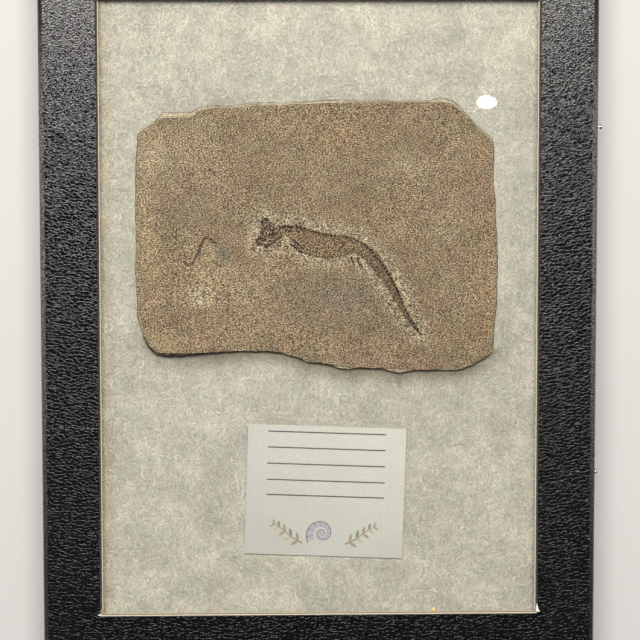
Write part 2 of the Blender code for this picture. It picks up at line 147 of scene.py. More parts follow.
def joinPieces(pieces):
    deselectAll()
    for piece in pieces:
        piece.select_set(True)
    bpy.context.view_layer.objects.active = pieces[0]
    bpy.ops.object.join()
    return bpy.context.object


def smoothPiece(piece, degrees):
    chooseOnly(piece)
    bpy.ops.object.shade_smooth_by_angle(angle=math.radians(degrees))


# Keeps flat faces shaded flat beside rounded edges.
def steadyNormals(piece):
    chooseOnly(piece)
    piece.modifiers.new("normals", "WEIGHTED_NORMAL").keep_sharp = True
    bpy.ops.object.modifier_apply(modifier="normals")


# Puts a finished piece on the case, in the place of the CAD node that it stands for.
def finishPiece(piece, node=None):
    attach(piece, "root")
    if node:
        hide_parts(node)
    return piece


def smoothStep(low, high, value):
    t = np.clip((value - low) / (high - low), 0.0, 1.0)
    return t * t * (3 - 2 * t)


def noiseAt(points, scale, shift=0.0):
    return np.array([noise.noise(Vector((p[0] * scale, p[1] * scale, shift))) for p in points])


# Node helpers

def addNode(tree, kind, values=None, **settings):
    made = tree.nodes.new(kind)
    for name, value in settings.items():
        setattr(made, name, value)
    for name, value in (values or {}).items():
        socket = made.inputs[name]
        if isinstance(value, bpy.types.NodeSocket):
            tree.links.new(value, socket)
        else:
            socket.default_value = value
    return made


def doMath(tree, operation, a, b=0.0, clamp=False):
    return addNode(tree, "ShaderNodeMath", {0: a, 1: b}, operation=operation, use_clamp=clamp).outputs[0]


def remap(tree, value, low, high, toLow=0.0, toHigh=1.0, smooth=True):
    made = addNode(tree, "ShaderNodeMapRange", {"Value": value, "From Min": low, "From Max": high,
                   "To Min": toLow, "To Max": toHigh})
    made.interpolation_type = "SMOOTHSTEP" if smooth else "LINEAR"
    return made.outputs["Result"]


def mixColour(tree, share, a, b, blend="MIX"):
    a, b = (v if isinstance(v, bpy.types.NodeSocket) else (*v, 1.0) for v in (a, b))
    made = addNode(tree, "ShaderNodeMix", {0: share, 6: a, 7: b}, data_type="RGBA", blend_type=blend)
    return made.outputs[2]


def scaleVector(tree, vector, amounts):
    made = addNode(tree, "ShaderNodeVectorMath", {0: vector, 1: amounts}, operation="MULTIPLY")
    return made.outputs[0]


def addNoise(tree, vector, scale, detail=2.0, roughness=0.5, distortion=0.0):
    made = addNode(tree, "ShaderNodeTexNoise", {"Vector": vector, "Scale": scale, "Detail": detail,
                   "Roughness": roughness, "Distortion": distortion})
    return made.outputs["Fac"]


def add(tree, a, b):
    return doMath(tree, "ADD", a, b)


# Product of numbers and sockets, from the left
def multiply(tree, first, *others):
    for other in others:
        first = doMath(tree, "MULTIPLY", first, other)
    return first


# Lays a tone over a colour, as far as the product of the shares says
def cover(tree, colour, tone, *shares):
    return mixColour(tree, multiply(tree, *shares), colour, tone)


def tinted(tree, colour, tone):
    return mixColour(tree, 1.0, colour, tone, "MULTIPLY")


def splitAxes(tree, vector):
    return addNode(tree, "ShaderNodeSeparateXYZ", {0: vector}).outputs


def readField(tree, name, output="Fac"):
    return addNode(tree, "ShaderNodeAttribute", attribute_name=name).outputs[output]


def newGroup(name, inputs, outputs):
    tree = bpy.data.node_groups.new(name, "ShaderNodeTree")
    for way, sockets in (("INPUT", inputs), ("OUTPUT", outputs)):
        for label, kind in sockets.items():
            tree.interface.new_socket(label, in_out=way, socket_type="NodeSocket" + kind)
    return tree, tree.nodes.new("NodeGroupInput").outputs, tree.nodes.new("NodeGroupOutput").inputs


def addGroup(tree, group, values):
    return addNode(tree, "ShaderNodeGroup", values, node_tree=group).outputs


def newMaterial(name, roughness=0.8, metallic=0.0):
    material = bpy.data.materials.new(name)
    material.use_nodes = True
    shader = material.node_tree.nodes["Principled BSDF"]
    shader.inputs["Roughness"].default_value = roughness
    shader.inputs["Metallic"].default_value = metallic
    return material, material.node_tree, shader


# Feeds the shader's colour and roughness, and a bump from a height, its strength and its depth in mm
def setSurface(shader, colour, roughness=None, bump=None):
    tree = shader.id_data
    tree.links.new(colour, shader.inputs["Base Color"])
    if roughness is not None:
        tree.links.new(roughness, shader.inputs["Roughness"])
    if bump is not None:
        height, strength, depth = bump
        made = addNode(tree, "ShaderNodeBump",
                       {"Height": height, "Strength": strength, "Distance": depth * mm})
        tree.links.new(made.outputs["Normal"], shader.inputs["Normal"])


# Object coordinates in millimetres.
def placeInMm(tree):
    coordinates = tree.nodes.new("ShaderNodeTexCoord")
    return scaleVector(tree, coordinates.outputs["Object"], (1000, 1000, 1000))


# Camera: straight above the case and a little towards its top, as in the photograph

camera = {
    "place": (-2.3705, 32.0655, 539.05),
    "target": (0.3715, -3.0518, 19.05),
    "lens": 102.9,
    "roll": -0.0007,
}


def makeCamera():
    data = bpy.data.cameras.new("camera")
    data.lens = camera["lens"]
    data.sensor_width = 36
    data.clip_start = 0.01
    data.dof.use_dof = False
    eye = bpy.data.objects.new("camera", data)
    bpy.context.scene.collection.objects.link(eye)
    place = Vector(camera["place"]) * mm
    ahead = (Vector(camera["target"]) * mm - place).normalized()
    right = ahead.cross(Vector((0, 1, 0))).normalized()
    up = right.cross(ahead)
    turn = camera["roll"]
    right, up = right * math.cos(turn) + up * math.sin(turn), up * math.cos(turn) - right * math.sin(turn)
    eye.matrix_world = Matrix((right, up, -ahead)).transposed().to_4x4()
    eye.location = place
    bpy.context.scene.camera = eye


# Light: a large soft panel towards the top of the case, weak fills, and one small lamp overhead

lights = {
    "panel": {"place": (-20, 375, 860), "size": (713, 391), "watts": 11.3, "colour": (1.0, 0.97, 0.93)},
    "leftFill": {"place": (-800, -40, 600), "size": (700, 900), "watts": 1.3, "colour": (1.0, 0.97, 0.94)},
    "rightFill": {"place": (800, 40, 600), "size": (700, 900), "watts": 1.1, "colour": (1.0, 0.97, 0.94)},
    "lamp": {"place": (163, 120, 1217), "size": (18.6, 12.2), "watts": 0.026, "colour": (0.98, 1.0, 0.83)},
    "sky": (0.05, 0.05, 0.053),
}


def makeLight(name, values):
    data = bpy.data.lights.new(name, "AREA")
    data.shape = "ELLIPSE" if name == "lamp" else "RECTANGLE"
    data.size, data.size_y = (v * mm for v in values["size"])
    data.energy = values["watts"]
    data.color = values["colour"]
    light = bpy.data.objects.new(name, data)
    bpy.context.scene.collection.objects.link(light)
    light.location = Vector(values["place"]) * mm
    if name != "lamp":
        aim = Vector((0, 0, 15)) * mm - light.location
        light.rotation_euler = aim.to_track_quat("-Z", "Y").to_euler()


def makeStage():
    for name in ("panel", "leftFill", "rightFill", "lamp"):
        makeLight(name, lights[name])
    world = bpy.data.worlds.new("studio")
    world.use_nodes = True
    world.node_tree.nodes["Background"].inputs["Color"].default_value = (*lights["sky"], 1.0)
    bpy.context.scene.world = world
    bpy.context.scene.view_settings.view_transform = "Standard"
    deselectAll()
    bpy.ops.mesh.primitive_plane_add(size=4, location=(0, 0, -0.2 * mm))
    floor = bpy.context.object
    floor.name = "floor"
    material, tree, shader = newMaterial("pale_floor", 0.7)
    mottle = addNoise(tree, placeInMm(tree), 0.02, 3)
    setSurface(shader, mixColour(tree, mottle, (0.66, 0.655, 0.64), (0.7, 0.695, 0.68)))
    floor.data.materials.append(material)


# Black grained paper that covers the board

def makeWrinkleGroup():
    tree, given, out = newGroup("paperWrinkles", {"Place": "Vector", "Fineness": "Float"},
                                {"Height": "Float", "Tops": "Float"})
    facing = splitAxes(tree, tree.nodes.new("ShaderNodeNewGeometry").outputs["Normal"])
    onEnd = doMath(tree, "GREATER_THAN", doMath(tree, "ABSOLUTE", facing["Y"]), 0.7)
    flat = scaleVector(tree, given["Place"], (1.6, 2.2, 1.6))
    ends = scaleVector(tree, given["Place"], (1.6, 1.6, 2.2))
    turned = addNode(tree, "ShaderNodeMix", {0: onEnd, 4: flat, 5: ends}, data_type="VECTOR").outputs[1]
    vector = addNode(tree, "ShaderNodeVectorMath", {0: turned, 3: given["Fineness"]},
                     operation="SCALE").outputs[0]
    wander = addNode(tree, "ShaderNodeTexNoise", {"Vector": vector, "Scale": 0.45, "Detail": 2.0})
    moved = addNode(tree, "ShaderNodeVectorMath",
                    {0: wander.outputs["Color"], 1: (1.6, 1.6, 1.6), 2: vector},
                    operation="MULTIPLY_ADD").outputs[0]
    cells = addNode(tree, "ShaderNodeTexVoronoi", {"Vector": moved, "Scale": 1.0, "Smoothness": 0.25},
                    feature="SMOOTH_F1")
    halved = scaleVector(tree, moved, (0.5, 0.5, 0.5))
    plates = addNode(tree, "ShaderNodeTexVoronoi", {"Vector": halved, "Scale": 1.0},
                     feature="DISTANCE_TO_EDGE")
    pebbles = remap(tree, cells.outputs["Distance"], 0.05, 0.75, 0.35, 0.0)
    grooves = remap(tree, plates.outputs["Distance"], 0.0, 0.13, 0.0, 0.5)
    folds = addNoise(tree, moved, 1.3, 2, 0.55)
    height = add(tree, add(tree, pebbles, grooves), multiply(tree, folds, 0.35))
    tree.links.new(height, out["Height"])
    tree.links.new(remap(tree, height, 0.35, 0.85), out["Tops"])
    return tree


def makePaperMaterial(wrinkles):
    material, tree, shader = newMaterial("black_leatherette", 0.42)
    place = placeInMm(tree)
    grain = addGroup(tree, wrinkles, {"Place": place, "Fineness": 1.0})
    tops = grain["Tops"]
    colour = mixColour(tree, tops, (0.0012, 0.0012, 0.0013), (0.0045, 0.0043, 0.0045))
    dust = remap(tree, addNoise(tree, place, 0.8, 4, 0.7), 0.55, 0.8)
    colour = cover(tree, colour, (0.12, 0.115, 0.105), dust, 0.05)
    # Painted sheen: a lighter grey along the rounded long edges, standing in for the light that they catch,
    # fading towards the ends, and rougher there
    parts = splitAxes(tree, place)
    patches = addNoise(tree, place, 0.12, 3, 0.6)
    outward = add(tree, doMath(tree, "ABSOLUTE", parts["X"]), multiply(tree, patches, 0.8))
    paintedEdgeSheen = multiply(tree, remap(tree, outward, 77.9, 78.5), remap(tree, parts["Z"], 16.6, 17.6),
                      remap(tree, parts["Y"], -85, 25, 0.1, 1.0), remap(tree, parts["Y"], 92, 52),
                      remap(tree, tops, 0.1, 0.7, 0.12, 1.0))
    colour = cover(tree, colour, (0.15, 0.136, 0.126), paintedEdgeSheen)
    rough = add(tree, remap(tree, tops, 0.1, 0.8, 0.175, 0.06), multiply(tree, paintedEdgeSheen, 0.25))
    shader.inputs["IOR"].default_value = 1.54
    setSurface(shader, colour, rough, (grain["Height"], 1.0, 0.057))
    return material


def makeBoardMaterial():
    material, tree, shader = newMaterial("cut_board", 0.9)
    place = placeInMm(tree)
    layers = addNoise(tree, scaleVector(tree, place, (0.6, 0.6, 5)), 1.0, 3)
    fluff = addNoise(tree, place, 2.5, 3, 0.6)
    colour = mixColour(tree, layers, (0.5, 0.43, 0.33), (0.74, 0.68, 0.57))
    colour = mixColour(tree, remap(tree, fluff, 0.35, 0.6), (0.4, 0.33, 0.24), colour)
    # Painted light and shade on one board: cream along the bottom cut, which faces the light, dark brown on
    # the other cuts, which face away; fuzzy and dark at the paper, paler on the lip
    parts = splitAxes(tree, place)
    y, z = parts["Y"], parts["Z"]
    below = remap(tree, y, -86.6, -87.0)
    cutLightAndShade = cover(tree, (0.085, 0.06, 0.034), (0.78, 0.71, 0.58), below, remap(tree, z, 17.84, 17.92))
    lip = mixColour(tree, below, (0.7, 0.65, 0.54), (0.5, 0.42, 0.29))
    fuzz = add(tree, z, multiply(tree, fluff, 0.3))
    colour = cover(tree, colour, cutLightAndShade, 0.92)
    colour = cover(tree, colour, (0.028, 0.022, 0.016), remap(tree, fuzz, 18.55, 18.7))
    colour = cover(tree, colour, lip, remap(tree, z, 17.67, 17.62), remap(tree, y, 86.8, 87.2, 1.0, 0.0))
    colour = cover(tree, colour, (0.84, 0.82, 0.76), remap(tree, z, 18.93, 18.95))
    setSurface(shader, colour, None, (fluff, 0.6, 0.1))
    return material


# Lid: a paper-covered frame with its window cut through paper and board

lid = {
    "edgeRound": 1.7,
    "edgeSteps": 6,
    "board": 1.6,
    "paper": 0.15,
    "border": 16.4,
    "skew": 0.35,
    "insideRound": 0.6,
    "flapWidth": 11.0,
    "flapSlant": 2.5,
    "flapThickness": 0.12,
    "cutSteps": 36,
    "cutWander": 0.06,
    "cutSeed": 4,
    # depth below the face and how far the cut stands inwards there; the last two rows are the pale lip
    "cut": [(0.16, 0.0), (0.85, 0.22), (1.38, 0.42), (1.46, 0.68)],
    "lip": 0.72,
    "torn": [
        [(62.8, -84.8), (62.5, -86.2), (62.55, -87.3), (63.75, -87.35), (63.2, -86.4)],
        [(-62.6, -87.8), (-63.9, -88.1), (-62.7, -88.4)],
    ],
    "tornThickness": 0.08,
    "tornLift": 0.02,
}


def windowSides(high, inset):
    x, y = high[0] - lid["border"] - inset, high[1] - lid["border"] - inset
    lean = lid["skew"] / x
    return [
        ((-x, 0, 0), (1, 0, 0)), ((x, 0, 0), (1, 0, 0)), ((0, y, 0), (0, 1, 0)), ((0, -y, 0), (-lean, 1, 0)),
    ]


# Cuts the window out of the flat face at height z.
def cutWindow(piece, high, z, inset=0.0):
    for place, normal in windowSides(high, inset):
        pickFaces(piece, lambda c, n: abs(c.z - z) < 0.01 and abs(n.z) > 0.99)
        bpy.ops.mesh.bisect(plane_co=Vector(place) * mm, plane_no=normal)
    x, y = high[0] - lid["border"], high[1] - lid["border"]
    pickFaces(piece, lambda c, n: abs(c.z - z) < 0.01 and abs(c.x) < x - 1 and abs(c.y) < y - 1)
    bpy.ops.mesh.delete(type="FACE")


def makeLid(paper, board):
    low, high = nodeBox("lid")
    top, wall = high[2], lid["board"]
    ceiling = top - wall
    x, y = high[0] - lid["border"], high[1] - lid["border"]
    outer = addBox("lid_cover", low, high)
    outer.data.materials.append(paper)
    outer.data.materials.append(board)
    editPiece(outer, "EDGE")
    pickEdges(outer, lambda a, b: abs(a.z - b.z) > 1 or min(a.z, b.z) > top - 0.1)
    roundEdges(lid["edgeRound"], lid["edgeSteps"])
    openSide(outer, -1)
    cutWindow(outer, high, top)
    pickEdges(outer, lambda a, b: min(a.z, b.z) > top - 0.01, openOnly=True)
    depth = inset = 0.0
    for nextDepth, nextInset in lid["cut"]:
        extrudeBy(0, 0, depth - nextDepth)
        shrink = ((x - nextInset) / (x - inset), (y - nextInset) / (y - inset), 1)
        bpy.ops.transform.resize(value=shrink, center_override=(0, 0, 0))
        depth, inset = nextDepth, nextInset
    makeFlaps(outer, low, high)
    leaveEdit()

    inside = addBox("lid_inside", [low[0] + wall, low[1] + wall, low[2]],
                    [high[0] - wall, high[1] - wall, ceiling])
    editPiece(inside, "EDGE")
    pickEdges(inside, lambda a, b: abs(a.z - b.z) > 1)
    roundEdges(lid["insideRound"], 3)
    openSide(inside, -1)
    cutWindow(inside, high, ceiling, lid["lip"])
    flipAll()
    leaveEdit()

    points, faces = [], []
    for outline in lid["torn"]:
        faces.append(range(len(points), len(points) + len(outline)))
        points += [(u * mm, v * mm, (top + lid["tornLift"]) * mm) for u, v in outline]
    torn = addMesh("lid_torn", points, faces)
    torn.data.materials.append(board)
    editPiece(torn)
    bpy.ops.mesh.select_all(action="SELECT")
    extrudeBy(0, 0, -lid["tornThickness"])
    leaveEdit()

    piece = joinPieces([outer, inside, torn])
    editPiece(piece, "EDGE")
    bridgeOpen(piece, lambda a, b: min(a.z, b.z) > ceiling - 0.1)
    bridgeOpen(piece, lambda a, b: max(a.z, b.z) < low[2] + 0.1)
    onCut = lambda c: abs(c.x) < x + 0.2 and abs(c.y) < y + 0.6 and c.z > ceiling - 0.1
    pickEdges(piece, lambda a, b: onCut(a) and onCut(b) and (a - b).length > 20)
    bpy.ops.mesh.subdivide(number_cuts=lid["cutSteps"])
    turnOutward()
    leaveEdit()

    # unseeded, this noise would start from the clock
    noise.seed_set(lid["cutSeed"])
    for vertex in piece.data.vertices:
        at = vertex.co / mm
        if onCut(at):
            spot = Vector((at.x * 0.3, at.y * 0.3, 2.0 + at.z * 0.2))
            wander = noise.noise_vector(spot) * lid["cutWander"]
            vertex.co += Vector((wander.x, wander.y, 0)) * mm
    for face in piece.data.polygons:
        centre = face.center / mm
        if onCut(centre) and centre.z < top - lid["paper"]:
            face.material_index = 1
    smoothPiece(piece, 35)
    steadyNormals(piece)
    return finishPiece(piece, "lid")


# Corners of the cover's paper, folded over and glued flat on the end walls.
def makeFlaps(piece, low, high):
    slant = lid["flapSlant"] / (high[2] - low[2])
    start = high[0] - lid["flapWidth"]
    for side in (-1, 1):
        pickFaces(piece, lambda c, n: abs(n.y) > 0.99)
        bpy.ops.mesh.bisect(plane_co=(side * start * mm, 0, low[2] * mm), plane_no=(1, 0, -side * slant))
    for end in (-1, 1):
        pickFaces(piece, lambda c, n: n.y * end > 0.99 and abs(c.x) > start)
        extrudeBy(0, end * lid["flapThickness"], 0)


# Tray: the lower half, its walls and back covered in the same paper

tray = {"footRound": 0.5, "board": 1.6, "cornerRound": 0.8, "backMargin": 11.0, "backStep": 0.12}


def makeTray(paper):
    low, high = nodeBox("tray")
    step, wall = tray["backStep"], tray["board"]
    outer = addBox("tray_cover", [low[0], low[1], low[2] + step], high)
    editPiece(outer, "EDGE")
    pickEdges(outer, lambda a, b: abs(a.z - b.z) > 1)
    roundEdges(tray["cornerRound"], 4)
    openSide(outer, 1)
    pickEdges(outer, lambda a, b: max(a.z, b.z) < low[2] + step + 0.01)
    roundEdges(tray["footRound"], 3)
    pickFaces(outer, lambda c, n: n.z < -0.99)
    bpy.ops.mesh.inset(thickness=tray["backMargin"] * mm, depth=0)
    bpy.ops.mesh.inset(thickness=step * mm, depth=step * mm)
    leaveEdit()
    inside = addBox("tray_inside", [v + wall for v in low], [high[0] - wall, high[1] - wall, high[2]])
    editPiece(inside)
    openSide(inside, 1)
    flipAll()
    leaveEdit()
    piece = joinPieces([outer, inside])
    editPiece(piece, "EDGE")
    bridgeOpen(piece, lambda a, b: min(a.z, b.z) > high[2] - 0.1)
    leaveEdit()
    piece.data.materials.append(paper)
    smoothPiece(piece, 35)
    return finishPiece(piece, "tray")


# Glass: the CAD pane, clear, with faint smears

def makeGlassMaterial():
    material, tree, shader = newMaterial("clear_glass", 0.0)
    shader.inputs["Transmission Weight"].default_value = 1.0
    shader.inputs["IOR"].default_value = 1.45
    smears = addNoise(tree, scaleVector(tree, placeInMm(tree), (0.02, 0.05, 0.02)), 1.0, 4, 0.6, 1.5)
    tint = mixColour(tree, remap(tree, smears, 0.4, 0.8), (0.985, 0.995, 0.985), (0.965, 0.975, 0.96))
    setSurface(shader, tint, remap(tree, smears, 0.5, 0.8, 0.0, 0.035))
    clear = addNode(tree, "ShaderNodeBsdfTransparent", {"Color": (0.95, 0.96, 0.95, 1.0)}).outputs[0]
    path = tree.nodes.new("ShaderNodeLightPath")
    shown = shader.outputs[0]
    for ray in ("Is Diffuse Ray", "Is Shadow Ray"):
        shown = addNode(tree, "ShaderNodeMixShader", {0: path.outputs[ray], 1: shown, 2: clear}).outputs[0]
    tree.links.new(shown, tree.nodes["Material Output"].inputs["Surface"])
    return material


# Pins: bright headed pins pushed through both walls

pins = {
    "height": 9.5, "shank": 0.35, "head": 0.8, "headThickness": 0.6, "headRound": 0.25,
    "length": 13.0, "point": 1.6, "pointEnd": 0.04, "steps": 24,
    "places": {
        "pin_right_upper": (1, 52.0, 2.4), "pin_right_lower": (1, -48.0, 1.8),
        "pin_left_upper": (-1, 50.0, 1.2), "pin_left_lower": (-1, -50.0, 1.2),
    },
}


def makeSteelMaterial():
    material, tree, shader = newMaterial("bright_steel", 0.25, 1.0)
    scratches = addNoise(tree, scaleVector(tree, placeInMm(tree), (1.5, 14, 14)), 1.0, 3)
    colour = mixColour(tree, scratches, (0.62, 0.61, 0.59), (0.8, 0.79, 0.77))
    setSurface(shader, colour, remap(tree, scratches, 0.3, 0.7, 0.18, 0.34))
    return material


def makePin(name, side, y, standOff, steel):
    tip = nodeBox("lid")[1][0] + standOff
    neck = tip - pins["headThickness"]
    end = neck - pins["length"]
    rounded = pins["headRound"]
    profile = [(end, 0.0), (end, pins["pointEnd"]), (end + pins["point"], pins["shank"]),
               (neck, pins["shank"]), (neck, pins["head"] - 0.08), (neck + 0.06, pins["head"])]
    for step in range(5):
        turn = math.radians(22.5 * step)
        profile.append((tip - rounded * (1 - math.sin(turn)), pins["head"] - rounded * (1 - math.cos(turn))))
    profile.append((tip, 0.0))
    points = [(side * x * mm, y * mm, (pins["height"] + r) * mm) for x, r in profile]
    pin = addMesh(name + "_steel", points, [], [(i, i + 1) for i in range(len(points) - 1)])
    editPiece(pin, "VERT")
    bpy.ops.mesh.select_all(action="SELECT")
    bpy.ops.mesh.spin(steps=pins["steps"], angle=2 * math.pi, center=(0, y * mm, pins["height"] * mm),
                      axis=(1, 0, 0))
    bpy.ops.mesh.select_all(action="SELECT")
    bpy.ops.mesh.remove_doubles(threshold=0.002 * mm)
    turnOutward()
    leaveEdit()
    pin.data.materials.append(steel)
    smoothPiece(pin, 40)
    return finishPiece(pin, name)


# Fossil slab. The lists repeat the CAD model's outline, layers and animal.

slab = {
    "top": 14.3,
    "bottom": 6.6,
    "spacing": 0.39,
    "fineReach": 1.7,
    "edge": [
        (-51.5, 49.6, 0.1, 0.3), (-45.6, 53.9, 0.4, 0.0), (-44.4, 54.1, 1.8, 0.0), (-35.9, 54.3, 1.6, 0.0),
        (-34.6, 56.2, 0.7, 0.0), (-32.1, 56.8, 1.0, 0.0), (-22.4, 57.3, 0.8, 0.0), (-17.4, 57.6, 1.2, 0.0),
        (-12.4, 57.9, 0.7, 0.0), (3.3, 58.6, 0.8, 0.0), (20.0, 58.8, 0.4, 0.0), (32.3, 58.6, 0.8, 0.0),
        (35.0, 58.9, 1.4, 0.0), (38.6, 58.0, 0.9, 0.0), (41.0, 56.2, 0.4, 0.0), (45.6, 51.0, 0.5, 0.2),
        (49.6, 47.6, 0.7, 0.3), (50.0, 44.6, 0.1, 0.3), (49.9, 36.9, 0.1, 0.3), (50.6, 31.2, 0.1, 0.2),
        (51.3, 14.1, 0.1, 0.2), (51.1, 1.2, 0.1, 0.2), (50.4, -5.9, 0.1, 0.3), (50.2, -12.8, 0.1, 0.6),
        (44.4, -16.2, 0.0, 1.1), (41.4, -17.1, 0.0, 1.0), (33.0, -17.6, 0.0, 0.8), (24.0, -17.8, 0.0, 1.4),
        (18.4, -17.3, 0.0, 1.1), (10.1, -17.1, 0.0, 0.9), (5.4, -16.6, 0.0, 1.4), (-2.0, -15.5, 0.0, 1.2),
        (-4.4, -14.6, 0.0, 1.5), (-9.9, -12.9, 0.0, 0.9), (-14.2, -12.2, 0.0, 0.5), (-21.4, -12.2, 0.0, 0.7),
        (-32.1, -12.7, 0.0, 1.2), (-37.6, -12.9, 0.0, 1.9), (-42.2, -12.9, 0.0, 2.7),
        (-46.4, -12.6, 0.0, 2.0),
        (-48.7, -10.6, 0.0, 1.7), (-50.1, -8.6, 0.0, 1.1), (-50.7, -6.3, 0.0, 0.6), (-52.0, -2.3, 0.0, 0.5),
        (-52.2, 4.9, 0.0, 0.4), (-52.4, 29.8, 0.0, 0.3), (-52.1, 38.4, 0.1, 0.3),
    ],
    "edgeStep": 3.6,
    "edgeJitter": 0.12,
    # broken bits that stand out below the lower edge: place, half width, how far
    "crumbs": [
        (-3.6, -15.0, 1.6, 0.3), (7.2, -16.6, 2.6, 0.6), (22.6, -17.8, 3.6, 0.75), (37.6, -17.0, 5.5, 0.45),
    ],
    # height of a row of points on the side, share of the ledge, roughness of the break
    "rows": [
        (14.17, 0.0, 0.02), (13.98, 0.06, 0.04), (13.75, 0.13, 0.05), (13.6, 0.18, 0.06), (13.54, 0.44, 0.1),
        (13.4, 0.48, 0.1), (13.35, 0.72, 0.12), (13.2, 0.76, 0.12), (13.14, 0.97, 0.12), (12.9, 1.0, 0.14),
        (12.55, 1.0, 0.18), (12.2, 0.94, 0.2), (11.9, 1.0, 0.2), (11.5, 0.96, 0.22), (11.25, 0.82, 0.24),
        (10.7, 0.8, 0.26), (10.2, 0.74, 0.28), (9.7, 0.78, 0.3), (9.2, 0.6, 0.3), (8.5, 0.55, 0.3),
        (7.8, 0.5, 0.3), (7.1, 0.45, 0.3), (6.75, 0.35, 0.3), (6.6, 0.3, 0.3),
    ],
    # heights where the breaks change from layer to layer
    "layers": (13.57, 12.7, 11.3, 9.25),
    "footInset": 0.7,
    "topInset": 0.1,
}
animal = {
    "spine": [
        (-11.8, 22.9, 0.6, 1.2), (-9.2, 23.4, 0.6, 2.6), (-5.7, 23.2, 0.6, 5.7), (-2.0, 22.2, 0.6, 6.9),
        (1.6, 21.2, 0.6, 6.9), (5.3, 20.7, 0.6, 6.4), (9.0, 20.2, 0.6, 5.0), (11.7, 19.1, 0.7, 3.7),
        (14.2, 17.3, 0.7, 3.2), (17.1, 14.1, 0.7, 3.2), (19.5, 10.8, 0.7, 3.0), (22.1, 6.1, 0.6, 2.4),
        (24.5, 0.5, 0.5, 1.6), (26.9, -3.9, 0.4, 1.1), (29.4, -7.4, 0.2, 0.2),
    ],
    "skull": [
        (-18.0, 18.4), (-17.4, 20.2), (-16.6, 21.9), (-16.6, 24.4), (-16.1, 25.7), (-15.3, 26.1),
        (-14.4, 25.8), (-13.0, 24.1), (-10.9, 21.9), (-9.6, 21.0), (-10.5, 20.0), (-13.4, 18.4),
        (-14.8, 17.0), (-15.8, 17.9),
    ],
    "orbit": (-14.4, 22.3, 0.85),
    "limbs": [
        [(-6.9, 19.5), (-4.5, 17.3)], [(-7.9, 18.4), (-4.9, 16.1)], [(9.4, 14.8), (9.9, 13.2)],
        [(11.2, 14.4), (11.6, 12.8)], [(11.6, 12.8), (12.7, 11.9)],
    ],
    "jaw": [(-15.4, 18.3), (-12.4, 19.0), (-10.0, 20.4)],
    # dark sutures, edges and bone scraps: half width, then points
    "marks": [
        (0.15, [(-16.1, 24.4), (-15.9, 25.2), (-15.2, 25.5), (-14.4, 25.3), (-13.7, 24.6)]),
        (0.17, [(-14.4, 25.1), (-13.2, 24.3), (-12.4, 23.5), (-11.8, 22.9)]),
        (0.17, [(-13.5, 24.4), (-14.9, 23.3), (-16.1, 22.4), (-16.5, 21.6), (-16.1, 20.9), (-15.1, 21.3)]),
        (0.34, [(-15.9, 20.95), (-15.7, 21.1)]),
        (0.2, [(-14.1, 21.8), (-14.0, 21.8)]),
        (0.36, [(-13.3, 21.2), (-13.1, 21.1)]),
        (0.14, [(-14.6, 22.9), (-13.4, 22.6), (-12.5, 21.9)]),
        (0.2, [(-17.1, 20.5), (-17.7, 19.4), (-17.9, 18.6), (-17.4, 18.1)]),
        (0.16, [(-17.4, 18.2), (-16.5, 18.5), (-15.7, 18.4)]),
        (0.17, [(-15.5, 18.3), (-13.8, 18.4), (-12.7, 19.1), (-11.4, 20.1), (-10.4, 20.5)]),
        (0.16, [(-12.3, 18.3), (-11.3, 19.0), (-10.3, 19.7)]),
        (0.24, [(-15.3, 17.6), (-14.6, 17.7), (-14.1, 18.1)]),
        (0.4, [(-11.3, 23.4), (-10.6, 23.2)]),
        (0.42, [(-9.8, 23.5), (-8.7, 23.8)]),
        (0.3, [(-9.4, 22.5), (-7.8, 22.2)]),
        (0.3, [(-8.6, 23.3), (-7.1, 23.2)]),
        (0.42, [(-6.1, 23.5), (-5.0, 22.7)]),
        (0.25, [(-6.3, 22.2), (-5.6, 22.0)]),
    ],
    "trace": [
        (-38.4, 13.5), (-37.2, 12.4), (-36.0, 13.1), (-34.7, 15.7), (-33.7, 17.9), (-33.0, 19.5),
        (-32.0, 20.3), (-30.6, 19.7), (-29.4, 18.7),
    ],
    "traceSpur": [(-30.2, 13.9), (-29.2, 12.9), (-28.2, 12.1)],
    "vertebraPitch": 1.12,
    "vertebraRadius": 0.52,
    "vertebraTaper": 0.45,
    "vertebraRise": 0.26,
    "filmRise": 0.2,
    "skullRise": 0.3,
    "orbitDepth": 0.34,
    "boneRadius": 0.36,
    "boneRise": 0.24,
    "traceRadius": 0.45,
    "traceRise": 0.22,
    "haloReach": 3.6,
    "haloDepth": 0.14,
    "scrape": (-31.0, 5.0, 7.5, 5.0),
    "scrapeDepth": 0.32,
}
